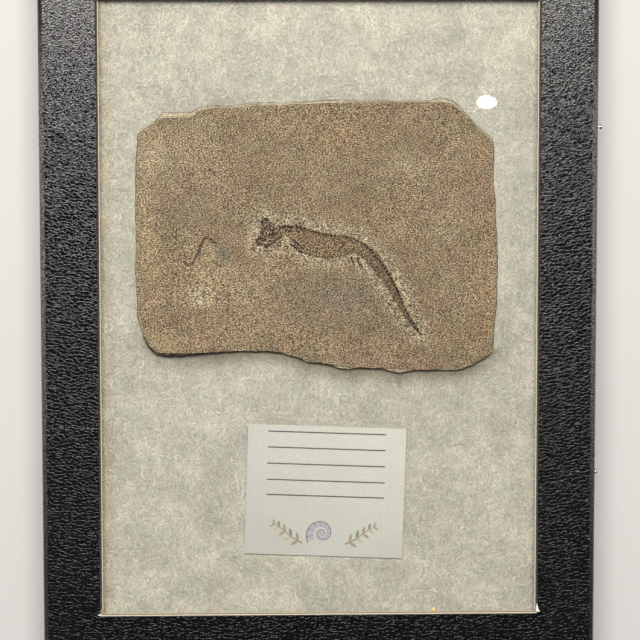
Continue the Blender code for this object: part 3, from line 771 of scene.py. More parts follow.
# Stains on the stone: place, reach along x and y, then how warm, pale and grey each one is.
stains = [
    (-49.0, 22.0, 4.0, 24.0, 0.8, 0.35, 0.0), (-46.5, 44.3, 5.0, 4.5, 0.5, 0.6, 0.0),
    (-43.9, -9.7, 4.5, 3.2, 1.3, 0.45, 0.0), (47.5, 8.0, 4.5, 16.0, 0.9, 0.1, 0.0),
    (44.0, 46.0, 6.0, 5.0, 0.6, 0.1, 0.0), (2.1, -9.1, 5.5, 3.0, 0.9, 0.1, 0.0),
    (4.9, 49.5, 7.0, 5.0, 0.6, 0.0, 0.0), (19.7, 22.7, 6.0, 4.0, 0.7, 0.0, 0.0),
    (25.2, 40.9, 5.0, 3.5, 0.1, 0.6, 0.0), (-36.0, 44.0, 15.0, 10.0, 0.0, 0.3, 0.0),
    (4.0, 3.0, 14.0, 7.0, 0.0, 0.0, 0.35), (-31.6, 14.6, 4.0, 4.6, 1.1, 0.35, 0.0),
    (-27.4, 15.8, 3.0, 3.2, 0.0, 0.0, 1.2), (-30.5, 8.0, 8.0, 3.5, 0.7, 0.5, 0.0),
    (-33.1, 3.1, 3.2, 2.2, 0.0, 1.5, 0.0), (-20.0, 4.0, 6.0, 5.0, 0.2, 0.35, 0.0),
    (20.3, 4.6, 3.0, 3.0, 0.7, 0.4, 0.0), (8.0, 2.0, 9.0, 7.0, 0.0, -0.4, 0.4),
    (-38.0, 30.0, 9.0, 9.0, -0.2, -0.2, 0.3), (35.0, 25.0, 8.0, 9.0, 0.1, 0.3, 0.0),
    (-5.0, 38.0, 14.0, 7.0, -0.1, -0.15, 0.1), (36.0, -8.0, 9.0, 5.0, 0.5, 0.1, 0.0),
    (-20.0, -6.0, 10.0, 4.0, 0.4, 0.1, 0.0),
]


def curveThrough(points, steps):
    listed = np.array(points, float)
    curve = []
    last = len(listed) - 1
    for i in range(last):
        a, b, c, d = listed[max(0, i - 1)], listed[i], listed[i + 1], listed[min(last, i + 2)]
        for step in range(steps):
            t = step / steps
            curve.append((-t + 2 * t * t - t ** 3) / 2 * a + (2 - 5 * t * t + 3 * t ** 3) / 2 * b
                         + (t + 4 * t * t - 3 * t ** 3) / 2 * c + (t ** 3 - t * t) / 2 * d)
    curve.append(listed[-1])
    return np.array(curve)


# Distance of each point to a curve, the nearest stretch, the share along it and the side.
def nearestOn(curve, points):
    start, run = curve[:-1, :2], curve[1:, :2] - curve[:-1, :2]
    found = [[], [], [], []]
    for first in range(0, len(points), 8000):
        away = points[first:first + 8000, None, :] - start[None]
        share = np.clip((away * run).sum(-1) / (run * run).sum(-1), 0, 1)
        off = away - share[..., None] * run
        distance = np.hypot(off[..., 0], off[..., 1])
        nearest = distance.argmin(1)
        row = np.arange(len(nearest))
        cross = run[nearest, 0] * off[row, nearest, 1] - run[nearest, 1] * off[row, nearest, 0]
        for kept, values in zip(found, (distance[row, nearest], nearest, share[row, nearest],
                                        np.where(cross >= 0, 1.0, -1.0))):
            kept.append(values)
    return [np.concatenate(kept) for kept in found]


# Distance to a closed outline, negative inside it, and the nearest point of the outline.
def edgeDistance(outline, points):
    closed = np.vstack([outline[:, :2], outline[:1, :2]])
    distance, nearest = nearestOn(closed, points)[:2]
    inside = np.zeros(len(points), bool)
    for a, b in zip(closed[:-1], closed[1:]):
        if a[1] != b[1]:
            spans = (a[1] > points[:, 1]) != (b[1] > points[:, 1])
            inside ^= spans & (points[:, 0] < a[0] + (points[:, 1] - a[1]) / (b[1] - a[1]) * (b[0] - a[0]))
    return np.where(inside, -distance, distance), nearest


# The slab's rim, counter-clockwise: x, y, ledge and lean, first as the CAD model has it, then finely.
def coarseRim():
    rng = random.Random(5)
    edge = slab["edge"][::-1]
    rim = []
    for a, b in zip(edge, edge[1:] + edge[:1]):
        length = math.hypot(b[0] - a[0], b[1] - a[1])
        parts = max(1, math.ceil(length / slab["edgeStep"]))
        for part in range(parts):
            point = [u + part / parts * (v - u) for u, v in zip(a, b)]
            if part:
                shift = rng.uniform(-slab["edgeJitter"], slab["edgeJitter"])
                point[0] -= shift * (b[1] - a[1]) / length
                point[1] += shift * (b[0] - a[0]) / length
            rim.append(point)
    return np.array(rim)


def smoothRound(values, times):
    for _ in range(times):
        values = 0.5 * values + 0.25 * (np.roll(values, 1, 0) + np.roll(values, -1, 0))
    return values


def measureRound(curve):
    closed = np.vstack([curve, curve[:1]])
    return closed, np.concatenate([[0], np.cumsum(np.hypot(*np.diff(closed[:, :2], axis=0).T))])


def fineRim(rim):
    closed, along = measureRound(rim)
    count = int(along[-1] / 0.25)
    at = np.arange(count) * along[-1] / count
    fine = np.array([np.interp(at, along, closed[:, k]) for k in range(4)]).T
    fine = smoothRound(fine, 3)
    ahead = np.roll(fine[:, :2], -1, 0) - np.roll(fine[:, :2], 1, 0)
    ahead /= np.hypot(*ahead.T)[:, None]
    out = smoothRound(np.array([ahead[:, 1], -ahead[:, 0]]).T, 60)
    out /= np.hypot(*out.T)[:, None]
    rough = 0.17 * noiseAt(fine, 0.7, 1.7) + 0.12 * noiseAt(fine, 2.1, 4.4)
    fine[:, :2] += out * rough[:, None]
    return np.hstack([fine, out])


# Signed distances and places on the animal for each point.
def readAnimal(points):
    spine = curveThrough(animal["spine"], 6)
    lengths = np.concatenate([[0], np.cumsum(np.hypot(*np.diff(spine[:, :2], axis=0).T))])
    distance, nearest, share, side = nearestOn(spine, points)
    back = spine[nearest, 2] + share * (spine[nearest + 1, 2] - spine[nearest, 2])
    belly = spine[nearest, 3] + share * (spine[nearest + 1, 3] - spine[nearest, 3])
    limbs = np.min([nearestOn(np.array(limb), points)[0] for limb in animal["limbs"]], axis=0)
    trace = np.minimum(nearestOn(curveThrough(animal["trace"], 3), points)[0],
                       nearestOn(np.array(animal["traceSpur"]), points)[0] + 0.12)
    marks = np.min([nearestOn(np.array(mark), points)[0] - half for half, mark in animal["marks"]], axis=0)
    return {
        "bodyEdge": distance - np.where(side > 0, back, belly),
        "spineOff": distance * side,
        "spinePlace": lengths[nearest] + share * (lengths[nearest + 1] - lengths[nearest]),
        "spineLength": lengths[-1],
        "skullEdge": edgeDistance(np.array(animal["skull"]), points)[0],
        "limbOff": limbs,
        "jawOff": nearestOn(np.array(animal["jaw"]), points)[0],
        "markOff": marks,
        "traceOff": trace,
    }


# Height of the top face over its level, as the CAD model has it, with finer forms on it.
def reliefAt(points, read):
    body, skull = read["bodyEdge"], read["skullEdge"]
    whole = np.minimum(body, skull)
    height = 0.1 * noiseAt(points, 0.06, 3.1)
    height -= animal["haloDepth"] * smoothStep(animal["haloReach"], 0.4, whole)
    height += animal["filmRise"] * smoothStep(0.3, -0.5, body)
    place, off = read["spinePlace"], read["spineOff"]
    radius = animal["vertebraRadius"] * (1 - animal["vertebraTaper"] * place / read["spineLength"])
    beat = place - animal["vertebraPitch"] * np.round(place / animal["vertebraPitch"])
    height += animal["vertebraRise"] * np.maximum(0, 1 - (beat * beat + off * off) / radius ** 2)
    ribs = 0.5 + 0.5 * np.cos((place + 0.25 * off) * 2 * math.pi / animal["vertebraPitch"])
    height += 0.05 * ribs * smoothStep(-0.4, -1.0, off) * smoothStep(0, -1.0, body)
    height += animal["skullRise"] * smoothStep(0.1, -0.6, skull)
    inside = smoothStep(0.2, -0.5, whole)
    height += inside * (0.07 * noiseAt(points, 1.1, 5.9) + 0.07 * noiseAt(points, 2.4, 7.7))
    x, y, size = animal["orbit"]
    fromOrbit = np.hypot(points[:, 0] - x, points[:, 1] - y)
    height -= animal["orbitDepth"] * smoothStep(size, size * 0.4, fromOrbit)
    bone = np.minimum(read["limbOff"], read["jawOff"])
    height += animal["boneRise"] * np.maximum(0, 1 - bone / animal["boneRadius"])
    height += 0.07 * smoothStep(0.1, -0.15, read["markOff"])
    height += animal["traceRise"] * np.maximum(0, 1 - read["traceOff"] / animal["traceRadius"])
    x, y, sizeX, sizeY = animal["scrape"]
    scrape = np.hypot((points[:, 0] - x) / sizeX, (points[:, 1] - y) / sizeY)
    pitted = 0.5 + 0.5 * noiseAt(points * (1, 1.4), 0.5, 8.7)
    height -= animal["scrapeDepth"] * pitted * smoothStep(1.1, 0.5, scrape)
    height += 0.045 * noiseAt(points, 0.8, 2.2) + 0.035 * noiseAt(points, 1.9, 6.1)
    return height


def readPoints(mesh):
    points = np.zeros(len(mesh.vertices) * 3)
    mesh.vertices.foreach_get("co", points)
    return points.reshape(-1, 3) / mm


def writePoints(mesh, points):
    mesh.vertices.foreach_set("co", (points * mm).ravel())
    mesh.update()


def writeAttribute(mesh, name, values):
    made = mesh.attributes.new(name, "FLOAT", "POINT")
    made.data.foreach_set("value", np.asarray(values, np.float32))


# Open borders of a mesh, shortest first, each a ring of vertices in the order of its faces.
def openBorders(mesh):
    bm = bmesh.new()
    bm.from_mesh(mesh)
    following = {}
    for edge in bm.edges:
        if len(edge.link_faces) == 1:
            corner = edge.link_loops[0]
            following[corner.vert.index] = corner.link_loop_next.vert.index
    bm.free()
    rings = []
    while following:
        ring = [next(iter(following))]
        while following.get(ring[-1]) not in (None, ring[0]):
            ring.append(following.pop(ring[-1]))
        following.pop(ring[-1], None)
        rings.append(ring)
    return sorted(rings, key=len)


# Spreads a border's vertices evenly along a closed curve that runs the same way round.
def spreadAlong(border, curve):
    closed, along = measureRound(curve)
    around = along[-1]
    nearest = np.array([np.hypot(*(curve[:, :2] - p).T).argmin() for p in border])
    run = np.diff(along[nearest], append=along[nearest[0]])
    run = (run + around / 2) % around - around / 2
    run = smoothRound(run, 40)
    run *= around / run.sum()
    place = (along[nearest[0]] + np.concatenate([[0], np.cumsum(run[:-1])])) % around
    return np.array([np.interp(place, along, closed[:, k]) for k in range(curve.shape[1])]).T


# Extrudes a ring of vertices once for each row of places given.
def extrudeRing(piece, ring, rows):
    editPiece(piece, "EDGE")
    bpy.ops.mesh.select_all(action="DESELECT")
    bm = bmesh.from_edit_mesh(piece.data)
    bm.verts.ensure_lookup_table()
    current = [bm.verts[i] for i in ring]
    for a, b in zip(current, current[1:] + current[:1]):
        bm.edges.get((a, b)).select_set(True)
    bmesh.update_edit_mesh(piece.data)
    for row in rows:
        keys = {tuple(vert.co): i for i, vert in enumerate(current)}
        bpy.ops.mesh.extrude_region_move()
        bm = bmesh.from_edit_mesh(piece.data)
        current = [None] * len(ring)
        for vert in bm.verts:
            if vert.select:
                current[keys[tuple(vert.co)]] = vert
        for vert, spot in zip(current, row):
            vert.co = Vector(spot) * mm
        bmesh.update_edit_mesh(piece.data)
    bpy.ops.mesh.edge_face_add()
    leaveEdit()


def selectOnly(piece, kind, chosen):
    mode = "VERT" if kind == "vertices" else "FACE"
    editPiece(piece, mode)
    bpy.ops.mesh.select_all(action="DESELECT")
    leaveEdit()
    getattr(piece.data, kind).foreach_set("select", chosen)
    editPiece(piece, mode)


def makeSlab(stone):
    rim = coarseRim()
    fine = fineRim(rim)
    low, high = fine[:, :2].min(0) - 0.5, fine[:, :2].max(0) + 0.5
    steps = np.ceil((high - low) / slab["spacing"]).astype(int)
    deselectAll()
    bpy.ops.mesh.primitive_grid_add(x_subdivisions=int(steps[0]), y_subdivisions=int(steps[1]), size=1,
                                    location=(*((low + high) / 2 * mm), slab["top"] * mm))
    piece = bpy.context.object
    piece.name = "fossil_slab_stone"
    piece.scale = (*((high - low) * mm), 1)
    bpy.ops.object.transform_apply()

    # Cut to the outline, then halve the spacing on and round the animal.
    fromEdge = edgeDistance(rim, readPoints(piece.data)[:, :2])[0]
    selectOnly(piece, "vertices", fromEdge > -0.6 * slab["spacing"])
    bpy.ops.mesh.delete(type="VERT")
    leaveEdit()
    centres = np.array([face.center[:2] for face in piece.data.polygons]) / mm
    read = readAnimal(centres)
    near = np.min([read["bodyEdge"], read["skullEdge"], read["limbOff"], read["traceOff"] + 0.8], axis=0)
    selectOnly(piece, "polygons", near < slab["fineReach"])
    bpy.ops.mesh.subdivide(number_cuts=1, ngon=False)
    leaveEdit()

    # The border goes to the rim, and the broken side is drawn down from it row by row.
    order = openBorders(piece.data)[-1]
    points = readPoints(piece.data)
    ring = spreadAlong(points[order, :2], fine)
    points[order, :2] = ring[:, :2] - ring[:, 4:] * slab["topInset"]
    points[:, 2] = slab["top"] + reliefAt(points[:, :2], readAnimal(points[:, :2]))
    writePoints(piece.data, points)
    rows = []
    foot = len(slab["rows"]) - 1
    for row, (z, *_) in enumerate(slab["rows"]):
        out = sideOut(ring, row) - (slab["footInset"] if row == foot else 0)
        wave = 0.06 * noiseAt(ring, 0.5, z) if 0 < row < foot else 0 * out
        rows.append(np.column_stack([ring[:, :2] + ring[:, 4:] * out[:, None], z + wave]))
    extrudeRing(piece, order, rows)

    points = readPoints(piece.data)
    read = readAnimal(points[:, :2])
    for name in ("bodyEdge", "spineOff", "spinePlace", "skullEdge", "limbOff", "markOff", "traceOff"):
        writeAttribute(piece.data, name, read[name])
    fromRim = -edgeDistance(rim, points[:, :2])[0]
    onSide = np.arange(len(points)) >= len(points) - len(order) * len(rows)
    writeAttribute(piece.data, "fromRim", np.where(onSide, -0.01, np.maximum(fromRim, 0)))
    bent = points[:, :2] + 1.5 * np.column_stack([noiseAt(points, 0.22, 11.0), noiseAt(points, 0.22, 12.0)])
    tones = np.zeros((3, len(points)))
    for x, y, reachX, reachY, *amounts in stains:
        spread = np.exp(-((bent[:, 0] - x) / reachX) ** 2 - ((bent[:, 1] - y) / reachY) ** 2)
        tones += np.array(amounts)[:, None] * spread
    for name, tone in zip(("warmth", "paleness", "greyness"), tones):
        writeAttribute(piece.data, name, tone)
    piece.data.materials.append(stone)
    smoothPiece(piece, 50)
    return finishPiece(piece, "fossil_slab"), fine


def makeGrainGroup():
    tree, given, out = newGroup("sandGrain", {"Place": "Vector", "Grains": "Float"},
                                {"Grain": "Float", "Specks": "Float", "Mottle": "Float", "Height": "Float"})
    place, grains = given["Place"], given["Grains"]
    fine = addNoise(tree, place, grains, 1.0, 0.6)
    coarse = addNoise(tree, place, multiply(tree, grains, 0.45), 2.0, 0.6)
    both = add(tree, multiply(tree, fine, 0.84), multiply(tree, coarse, 0.16))
    shifted = addNode(tree, "ShaderNodeVectorMath", {0: place, 1: (31.0, 17.0, 5.0)}, operation="ADD")
    bright = addNoise(tree, shifted.outputs[0], multiply(tree, grains, 0.95), 0.0)
    tree.links.new(doMath(tree, "POWER", remap(tree, both, 0.345, 0.655, smooth=False), 1.7), out["Grain"])
    tree.links.new(remap(tree, bright, 0.64, 0.74), out["Specks"])
    tree.links.new(coarse, out["Mottle"])
    tree.links.new(both, out["Height"])
    return tree


def makeStoneMaterial(grainGroup):
    material, tree, shader = newMaterial("sandy_stone", 0.9)
    place = placeInMm(tree)
    parts = splitAxes(tree, place)
    stretched = scaleVector(tree, place, (1.0, 1.65, 1.0))
    sand = addGroup(tree, grainGroup, {"Place": stretched, "Grains": 2.3})
    mottle = doMath(tree, "SUBTRACT", sand["Mottle"], 0.5)

    # Ground: sandy brown, here pinker and there greener, warmer, paler or greyer where it is stained
    clouds = addNoise(tree, place, 0.09, 4, 0.6)
    hue = addNoise(tree, scaleVector(tree, place, (0.8, 1.0, 1.0)), 0.17, 4, 0.6)
    hues = mixColour(tree, remap(tree, hue, 0.4, 0.6), (0.98, 0.99, 0.945), (1.05, 0.972, 0.96))
    ground = mixColour(tree, remap(tree, clouds, 0.35, 0.65), (0.27, 0.2, 0.128), (0.325, 0.245, 0.162))
    ground = tinted(tree, ground, hues)
    for name, share, tone in (("warmth", 0.7, (0.385, 0.26, 0.145)), ("paleness", 0.6, (0.54, 0.445, 0.3)),
                              ("greyness", 0.6, (0.205, 0.18, 0.148))):
        ground = cover(tree, ground, tone, doMath(tree, "MULTIPLY", readField(tree, name), share, True))

    # Halo of cleared, lighter stone round the animal
    body = add(tree, readField(tree, "bodyEdge"), multiply(tree, mottle, 1.1))
    skull = add(tree, readField(tree, "skullEdge"), multiply(tree, mottle, 0.8))
    halo = remap(tree, doMath(tree, "MINIMUM", body, skull), 5.0, 0.6)
    patchy = remap(tree, addNoise(tree, place, 0.35, 3, 0.6), 0.3, 0.6, 0.5, 1.0)
    ground = cover(tree, ground, (0.46, 0.385, 0.268), halo, patchy, 0.7)

    # Flattened body: tan with dark speckle, darker along the belly's edge and on the tail
    along = readField(tree, "spinePlace")
    off = readField(tree, "spineOff")
    tailward = remap(tree, along, 22, 34)
    coarse = addNoise(tree, place, 0.75, 2, 0.6)
    speckle = addNoise(tree, stretched, 2.3, 1, 0.6)
    blotch = remap(tree, add(tree, multiply(tree, speckle, 0.74), multiply(tree, coarse, 0.26)), 0.56, 0.45)
    backBand = remap(tree, doMath(tree, "ABSOLUTE", add(tree, off, 0.3)), 1.3, 0.35)
    edgeLine = remap(tree, doMath(tree, "ABSOLUTE", add(tree, body, 0.35)), 0.5, 0.1)
    film = mixColour(tree, tailward, (0.295, 0.205, 0.122), (0.22, 0.155, 0.092))
    film = cover(tree, film, (0.4, 0.25, 0.12), remap(tree, along, 9, 3),
                 remap(tree, coarse, 0.4, 0.54), 0.5)
    film = cover(tree, film, (0.07, 0.049, 0.032), blotch, 0.88)
    film = cover(tree, film, (0.065, 0.042, 0.026), backBand, remap(tree, tailward, 0, 1, 0.22, 0.6, False),
                 remap(tree, speckle, 0.6, 0.44, 0.2, 1.0))
    film = cover(tree, film, (0.055, 0.036, 0.024), edgeLine, remap(tree, coarse, 0.42, 0.56),
                 remap(tree, off, 0.3, -0.8, 0.25, 1.0), 0.65)
    colour = cover(tree, ground, film, remap(tree, body, 0.2, -0.35))

    # Vertebrae: a dark bead at each step along the spine
    pitch = animal["vertebraPitch"]
    step = doMath(tree, "FRACT", add(tree, doMath(tree, "DIVIDE", along, pitch), 0.5))
    beat = multiply(tree, doMath(tree, "SUBTRACT", step, 0.5), pitch)
    spread = doMath(tree, "SQRT", add(tree, multiply(tree, beat, beat), multiply(tree, off, off)))
    bead = multiply(tree, remap(tree, add(tree, spread, multiply(tree, mottle, 0.6)), 0.5, 0.26),
                    remap(tree, along, 2.5, 5.0), remap(tree, coarse, 0.36, 0.52, 0.3, 1.0))
    colour = cover(tree, colour, (0.018, 0.012, 0.009), bead, 0.95)

    # Skull: pinkish and tan bone, mottled near-black in front and orange behind
    onSkull = remap(tree, skull, 0.2, -0.25)
    bone = addNoise(tree, place, 1.6, 2, 0.7)
    rusty = remap(tree, addNoise(tree, place, 0.55, 2), 0.44, 0.56)
    rear = remap(tree, parts["X"], -13.6, -12.0)
    horn = remap(tree, parts["Y"], 23.6, 24.6)
    dark = remap(tree, doMath(tree, "SUBTRACT", bone, multiply(tree, rear, 0.03)), 0.44, 0.52)
    skullTone = mixColour(tree, rusty, (0.45, 0.33, 0.22), (0.29, 0.175, 0.108))
    skullTone = cover(tree, skullTone, (0.37, 0.235, 0.11), rear, 0.85)
    skullTone = cover(tree, skullTone, (0.12, 0.09, 0.07), horn, 0.7)
    skullTone = cover(tree, skullTone, (0.03, 0.016, 0.01), dark, 0.93)
    colour = cover(tree, colour, skullTone, onSkull, 0.95)

    # Sutures and bone scraps, limbs, jaw and the second trace
    ragged = multiply(tree, doMath(tree, "SUBTRACT", speckle, 0.5), 0.9)
    mark = remap(tree, add(tree, readField(tree, "markOff"), ragged), 0.1, -0.06)
    limb = remap(tree, add(tree, readField(tree, "limbOff"), ragged), 0.42, 0.22)
    thin = doMath(tree, "MAXIMUM", limb, mark)
    trace = remap(tree, add(tree, readField(tree, "traceOff"), multiply(tree, mottle, 1.2)), 0.56, 0.16)
    colour = cover(tree, colour, (0.02, 0.013, 0.01), thin, 0.93)
    colour = cover(tree, colour, (0.075, 0.043, 0.033), trace, 0.86)

    # Sides: pale layers where they face up, partly fresh break and partly painted light; dark where they are
    # broken steeply, partly dirt and partly painted shade
    rimward = readField(tree, "fromRim")
    onSide = remap(tree, rimward, 0.0, -0.008)
    facing = splitAxes(tree, tree.nodes.new("ShaderNodeNewGeometry").outputs["True Normal"])
    bands = addNoise(tree, scaleVector(tree, place, (0.12, 0.12, 4.5)), 1.0, 2)
    steepDirtAndShade = mixColour(tree, remap(tree, bands, 0.4, 0.6), (0.05, 0.037, 0.028), (0.125, 0.095, 0.068))
    freshAndLit = mixColour(tree, remap(tree, bands, 0.42, 0.58), (0.42, 0.325, 0.21), (0.64, 0.545, 0.39))
    colour = cover(tree, colour, mixColour(tree, remap(tree, facing["Z"], 0.35, 0.8), steepDirtAndShade, freshAndLit), onSide)
    colour = cover(tree, colour, (0.5, 0.4, 0.27), remap(tree, rimward, 0.55, 0.05),
                   remap(tree, sand["Mottle"], 0.42, 0.58), doMath(tree, "SUBTRACT", 1.0, onSide), 0.45)

    # Sand grain over everything, weaker on the broken side
    grain = remap(tree, sand["Grain"], 0, 1, 0.1, 2.36, False)
    uneven = remap(tree, addNoise(tree, place, 0.4, 3, 0.6), 0.3, 0.7, 0.8, 1.2, False)
    uneven = multiply(tree, uneven, remap(tree, parts["X"], -15, 35, 1.0, 0.92, False))
    colour = tinted(tree, colour, cover(tree, grain, (1.0, 1.0, 1.0), onSide, 0.6))
    colour = tinted(tree, colour, uneven)
    marked = doMath(tree, "MAXIMUM", thin, multiply(tree, bead, 0.6))
    marked = doMath(tree, "MAXIMUM", marked, multiply(tree, dark, onSkull, 0.88))
    colour = cover(tree, colour, (0.02, 0.013, 0.01), marked, 0.85)
    colour = cover(tree, colour, (0.66, 0.57, 0.43), sand["Specks"], 0.35)
    shader.inputs["Specular IOR Level"].default_value = 0.25
    setSurface(shader, colour, remap(tree, thin, 0, 1, 0.92, 0.78), (sand["Height"], 0.5, 0.22))
    return material


# Batting: a lumpy fibre pad with a hollow for the slab, and loose fibres over it

batting = {
    "top": 14.3,
    "floor": 6.2,
    "spacing": 0.75,
    "lumps": 0.2,
    "edgeRound": 1.6,
    "pocketMargin": 0.07,
    # how deep and how far the pad dips beside the slab's upper, lower, left and right edges
    "dips": [(1.3, 9.0), (2.2, 5.2), (0.9, 5.0), (0.6, 5.0)],
    "deepSpot": (-42.0, -12.5, 8.0, 2.4),
    # how far the painted shadow reaches on the pad below the slab's lower edge
    "shadeReach": 6.2,
    # the pocket's wall: share of its depth at each row, and the gap at its foot
    "wallRows": (0.08, 0.35, 0.7, 1.0),
    "footGap": 0.45,
    "skirtRow": 8.0,
    "fibreTop": 14.58,
    "fibreCount": 21000,
    "fibreLayers": 4,
    "fibrePoints": 6,
    "fibreLength": (1.2, 4.2),
    "fibreWidth": (0.06, 0.15),
}
card = {"width": 45.7, "length": 37.7, "middle": (1.9, -52.9), "turn": -1.95, "top": 14.85, "thickness": 0.3,
        "cornerRound": 0.25, "edgeRound": 0.05}


def cardPlace(points):
    turn = math.radians(card["turn"])
    x, y = points[:, 0] - card["middle"][0], points[:, 1] - card["middle"][1]
    return x * math.cos(turn) + y * math.sin(turn), -x * math.sin(turn) + y * math.cos(turn)


def cardDistance(points):
    x, y = cardPlace(points)
    return np.maximum(np.abs(x) - card["width"] / 2, np.abs(y) - card["length"] / 2)


# How far the slab's side stands out from the rim at a height, row by row.
def sideOut(ring, row):
    z, share, rough = slab["rows"][row]
    level = sum(z < limit for limit in slab["layers"])
    tucked = np.clip(-2 * ring[:, 5] - 0.6, 0, 1) * smoothStep(-27, -19, ring[:, 0])
    lean = ring[:, 3] * (1 - 0.75 * tucked)
    out = ring[:, 2] * share + lean * (slab["top"] - z) / (slab["top"] - slab["bottom"])
    if z < slab["top"] - 0.3:
        for x, y, reach, more in slab["crumbs"]:
            near = np.exp(-(((ring[:, 0] - x) / reach) ** 2 + ((ring[:, 1] - y) / 1.5) ** 2))
            out += more * near * (1 + 0.5 * noiseAt(ring, 1.1, 3.0))
    rough = rough * (1 - 0.5 * tucked)
    out += rough * noiseAt(ring, 0.35, level * 5.3) + 0.5 * rough * noiseAt(ring, 1.3, z * 1.9)
    return out + 0.35 * rough * noiseAt(ring, 2.6, z * 3.1)


# How deep and how far the slab presses the pad down beside a stretch of its rim.
def pressAt(rim):
    x, y = rim[:, 4], rim[:, 5]
    shares = np.array([np.maximum(y, 0), np.maximum(-y, 0), np.maximum(-x, 0), np.maximum(x, 0)]) ** 2
    depth, reach = np.array(batting["dips"]).T @ shares
    spotX, spotY, size, more = batting["deepSpot"]
    return depth + more * np.exp(-((rim[:, 0] - spotX) ** 2 + (rim[:, 1] - spotY) ** 2) / size ** 2), reach


# The rim moved out to the mouth of the pocket, where the pad meets the slab's side.
def pocketCurve(fine):
    depth = pressAt(fine)[0]
    out = np.full(len(fine), -9.0)
    for row, (z, *_) in enumerate(slab["rows"]):
        out = np.where(z > slab["top"] - depth - 0.35, np.maximum(out, sideOut(fine, row)), out)
    out = smoothRound(np.max([np.roll(out, k) for k in range(-1, 2)], axis=0), 2)
    curve = fine.copy()
    curve[:, :2] += fine[:, 4:] * (out + batting["pocketMargin"])[:, None]
    return curve[::2]


def wallDistance(points, low, high):
    x, y = points.T
    return np.min([x - low[0], high[0] - x, y - low[1], high[1] - y], axis=0)


# Height of the pad, distance from the slab, how far it is drawn down below the slab, and the strength of a
# painted shadow below the slab's lower edge.
def padHeight(points, pocket, low, high):
    fromSlab, nearest = edgeDistance(pocket, points)
    depth, reach = (values[nearest] for values in pressAt(pocket))
    loose = smoothStep(0.0, 4.0, fromSlab)
    height = batting["top"] + loose * batting["lumps"] * noiseAt(points, 0.07, 4.0)
    height += 0.08 * loose * noiseAt(points * (1.6, 0.7), 0.35, 6.0) + 0.05 * noiseAt(points, 1.1, 9.0)
    height -= depth * np.clip(1 - fromSlab / reach, 0, 1) ** 1.5
    # Painted shadow: strongest beside the slab's lower edge, fading away from the slab and weaker at the
    # left
    shade = np.maximum(-pocket[nearest, 5], 0) * (1 - smoothStep(0.0, batting["shadeReach"], fromSlab))
    shade *= 0.45 + 0.55 * smoothStep(-46, -27, points[:, 0])
    fromCard = cardDistance(points)
    press = 0.18 * (1 - smoothStep(0.0, 1.6, fromCard))
    height = np.minimum(height - press, np.where(fromCard < 0.8, card["top"] - card["thickness"] - 0.12, 99))
    rounded = np.clip(1 - wallDistance(points, low, high) / batting["edgeRound"], 0, 1)
    height -= batting["edgeRound"] * (1 - np.sqrt(np.maximum(0, 1 - rounded ** 2)))
    return np.minimum(height, high[2] - 0.02), fromSlab, shade


def nearestRim(ring, fine):
    return np.array([fine[np.hypot(*(fine[:, :2] - p[:2]).T).argmin(), :2] for p in ring])


def makeBatting(fibre, fine):
    low, high = nodeBox("batting")
    pocket = pocketCurve(fine)
    size = [high[0] - low[0], high[1] - low[1]]
    deselectAll()
    bpy.ops.mesh.primitive_grid_add(x_subdivisions=int(size[0] / batting["spacing"]),
                                    y_subdivisions=int(size[1] / batting["spacing"]), size=1)
    pad = bpy.context.object
    pad.name = "batting_pad"
    pad.scale = (size[0] * mm, size[1] * mm, 1)
    bpy.ops.object.transform_apply()
    fromPocket = edgeDistance(pocket, readPoints(pad.data)[:, :2])[0]
    selectOnly(pad, "vertices", fromPocket < 0.3 * batting["spacing"])
    bpy.ops.mesh.delete(type="VERT")
    leaveEdit()
    hollow, outer = openBorders(pad.data)
    points = readPoints(pad.data)
    hollow = hollow[::-1]
    ring = spreadAlong(points[hollow, :2], pocket)
    points[hollow, :2] = ring[:, :2]
    points[:, 2] = padHeight(points[:, :2], pocket, low, high)[0]
    writePoints(pad.data, points)
    lip = points[hollow]
    foot = np.maximum(ring[:, 2], ring[:, 3]) + batting["footGap"]
    lipOut = np.hypot(*(ring[:, :2] - nearestRim(ring, fine)).T)
    walls = []
    for share in batting["wallRows"]:
        height = lip[:, 2] + share * (batting["floor"] - lip[:, 2])
        grow = np.maximum(foot - lipOut, 0.05) * min(1, share * 2.2)
        walls.append(np.column_stack([lip[:, :2] + ring[:, 4:] * grow[:, None], height]))
    extrudeRing(pad, hollow, walls)
    lip = points[outer]
    skirt = (batting["skirtRow"], low[2] + 0.3)
    extrudeRing(pad, outer, [np.column_stack([lip[:, :2], 0 * lip[:, 0] + z]) for z in skirt])
    editPiece(pad)
    turnOutward()
    leaveEdit()
    writeAttribute(pad.data, "shade", padHeight(readPoints(pad.data)[:, :2], pocket, low, high)[2])
    pad.data.materials.append(fibre)
    smoothPiece(pad, 60)
    finishPiece(pad, "batting")
    return pocket, low, high


